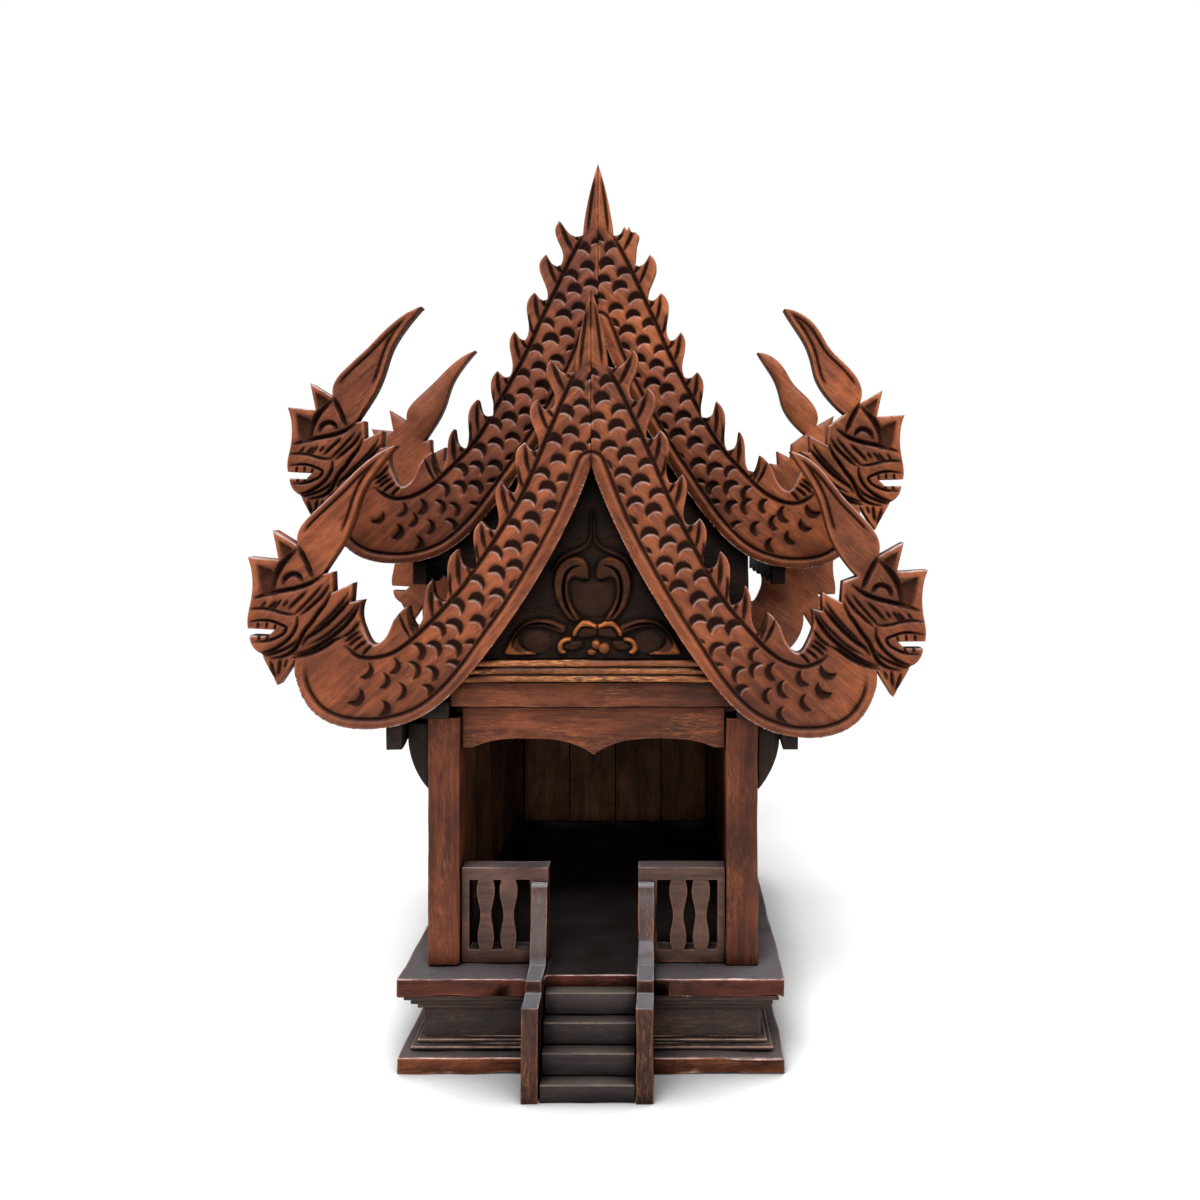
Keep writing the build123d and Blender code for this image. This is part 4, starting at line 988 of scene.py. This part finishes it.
def plank_spans(node_name):
    """The low and high corner of each plank of a wall, from left to right."""
    bm = bmesh.new()
    bm.from_mesh(nodes[node_name].data)
    bmesh.ops.remove_doubles(bm, verts=bm.verts, dist=2e-6)
    left = set(bm.verts)
    spans = []
    while left:
        group = [left.pop()]
        for vert in group:
            for edge in vert.link_edges:
                other = edge.other_vert(vert)
                if other in left:
                    left.discard(other)
                    group.append(other)
        spans.append(([min(v.co[a] for v in group) for a in range(3)], [max(v.co[a] for v in group) for a in range(3)]))
    bm.free()
    return sorted(spans)


def loose_tongues(node_name, reach=5.0, half_thick=1.2, short=0.3):
    """Thin strips let into the joints of a wall's planks and into the posts, which keep the light out."""
    spans = plank_spans(node_name)
    joints = [(a[1][0] + b[0][0]) / 2 for a, b in zip(spans, spans[1:])] + [spans[0][0][0], spans[-1][1][0]]
    low, high = spans[0]
    foot = max(span[0][2] for span in spans) + short * MM
    head = min(span[1][2] for span in spans) - short * MM
    size = (2 * reach * MM, 2 * half_thick * MM, head - foot)
    bm = bmesh.new()
    for x in joints:
        place = Matrix.Translation((x, (low[1] + high[1]) / 2, (foot + head) / 2)) @ Matrix.Diagonal((*size, 1))
        bmesh.ops.create_cube(bm, size=1.0, matrix=place)
    mesh = bpy.data.meshes.new(node_name + "_tongues")
    bm.to_mesh(mesh)
    bm.free()
    mesh.materials.append(finish["dark_Z"])
    piece = bpy.data.objects.new(node_name + "_tongues", mesh)
    bpy.context.scene.collection.objects.link(piece)
    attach(piece, "root")


loose_tongues("rear_wall")

# ------------------------------------------------------------------ studio
FLOOR_WHITE = (0.88, 0.88, 0.88)     # a little over white under these lights, so only near shadow shows


def plain(name, colour, rough=0.9):
    material = bpy.data.materials.new(name)
    material.use_nodes = True
    shader = material.node_tree.nodes["Principled BSDF"]
    shader.inputs["Base Color"].default_value = (*colour, 1)
    shader.inputs["Roughness"].default_value = rough
    shader.inputs["Specular IOR Level"].default_value = 0.0
    return material


ground = plain("floor", FLOOR_WHITE)
tree = ground.node_tree
# painted contact shadow: the floor greys where the AO finds the house close by
contact_shade = add_node(tree, "ShaderNodeAmbientOcclusion", {"Distance": 75 * MM}, samples=8).outputs["AO"]
contact_shade = spread(tree, contact_shade, 0.42, 0.90)
tree.links.new(blend(tree, contact_shade, (0.24, 0.24, 0.24), FLOOR_WHITE), tree.nodes["Principled BSDF"].inputs["Base Color"])
paper = tree.nodes["Principled BSDF"].outputs[0]
place = add_node(tree, "ShaderNodeTexCoord").outputs["Object"]
away = add_node(tree, "ShaderNodeVectorMath", {0: place}, operation="LENGTH").outputs["Value"]
beyond = add_node(tree, "ShaderNodeEmission", {"Color": (1, 1, 1, 1), "Strength": 1.0}).outputs[0]
sweep = add_node(tree, "ShaderNodeMixShader", {0: spread(tree, away, 0.5, 0.95), 1: paper, 2: beyond})
tree.links.new(sweep.outputs[0], tree.nodes["Material Output"].inputs["Surface"])
floor_mesh = bpy.data.meshes.new("floor")
floor_mesh.from_pydata([(-40, -40, 0), (40, -40, 0), (40, 40, 0), (-40, 40, 0)], [], [(0, 1, 2, 3)])
floor_mesh.materials.append(ground)
floor = bpy.data.objects.new("floor", floor_mesh)
bpy.context.scene.collection.objects.link(floor)

world = bpy.data.worlds.new("studio")
world.use_nodes = True
tree = world.node_tree
tree.nodes.clear()
rays = add_node(tree, "ShaderNodeLightPath")
direction = add_node(tree, "ShaderNodeTexCoord").outputs["Generated"]
parts = add_node(tree, "ShaderNodeSeparateXYZ", {0: direction})
ahead = spread(tree, parts.outputs["Y"], -1.0, 1.0, 0.34, 0.75)
above = spread(tree, parts.outputs["Z"], -0.2, 1.0, 0.55, 1.15)
room = add_node(tree, "ShaderNodeBackground", {"Color": (1, 1, 1, 1), "Strength": calc(tree, "MULTIPLY", ahead, above)})
seen = add_node(tree, "ShaderNodeBackground", {"Color": (1, 1, 1, 1), "Strength": 1.0})
mixer = add_node(tree, "ShaderNodeMixShader", {0: rays.outputs["Is Camera Ray"], 1: room.outputs[0], 2: seen.outputs[0]})
out = add_node(tree, "ShaderNodeOutputWorld")
tree.links.new(mixer.outputs[0], out.inputs["Surface"])
bpy.context.scene.world = world


def soft_box(name, place, aim, size, power, colour=(1, 1, 1)):
    light = bpy.data.lights.new(name, "AREA")
    light.shape = "RECTANGLE"
    light.size, light.size_y = size
    light.energy = power
    light.color = colour
    lamp = bpy.data.objects.new(name, light)
    lamp.location = place
    lamp.rotation_euler = (Vector(aim) - Vector(place)).to_track_quat("-Z", "Y").to_euler()
    bpy.context.scene.collection.objects.link(lamp)
    return lamp


soft_box("key", (-0.15, -1.25, 2.1), (0, -0.05, 0.4), (1.3, 0.9), 56.0)
soft_box("overhead", (0.0, -0.3, 2.6), (0, 0, 0.2), (2.4, 2.0), 46.0)
soft_box("front fill", (0.3, -2.6, 0.9), (0, 0, 0.3), (1.6, 1.1), 15.0)

camera_data = bpy.data.cameras.new("camera")
camera_data.sensor_width = 36
camera_data.lens = 26.1
camera_data.shift_x = -0.05375
camera_data.shift_y = -0.0792
camera = bpy.data.objects.new("camera", camera_data)
camera.location = (0.051, -0.768, 0.3946)
camera.rotation_euler = (math.pi / 2, 0, 0)
bpy.context.scene.collection.objects.link(camera)
bpy.context.scene.camera = camera
bpy.context.scene.view_settings.view_transform = "Standard"
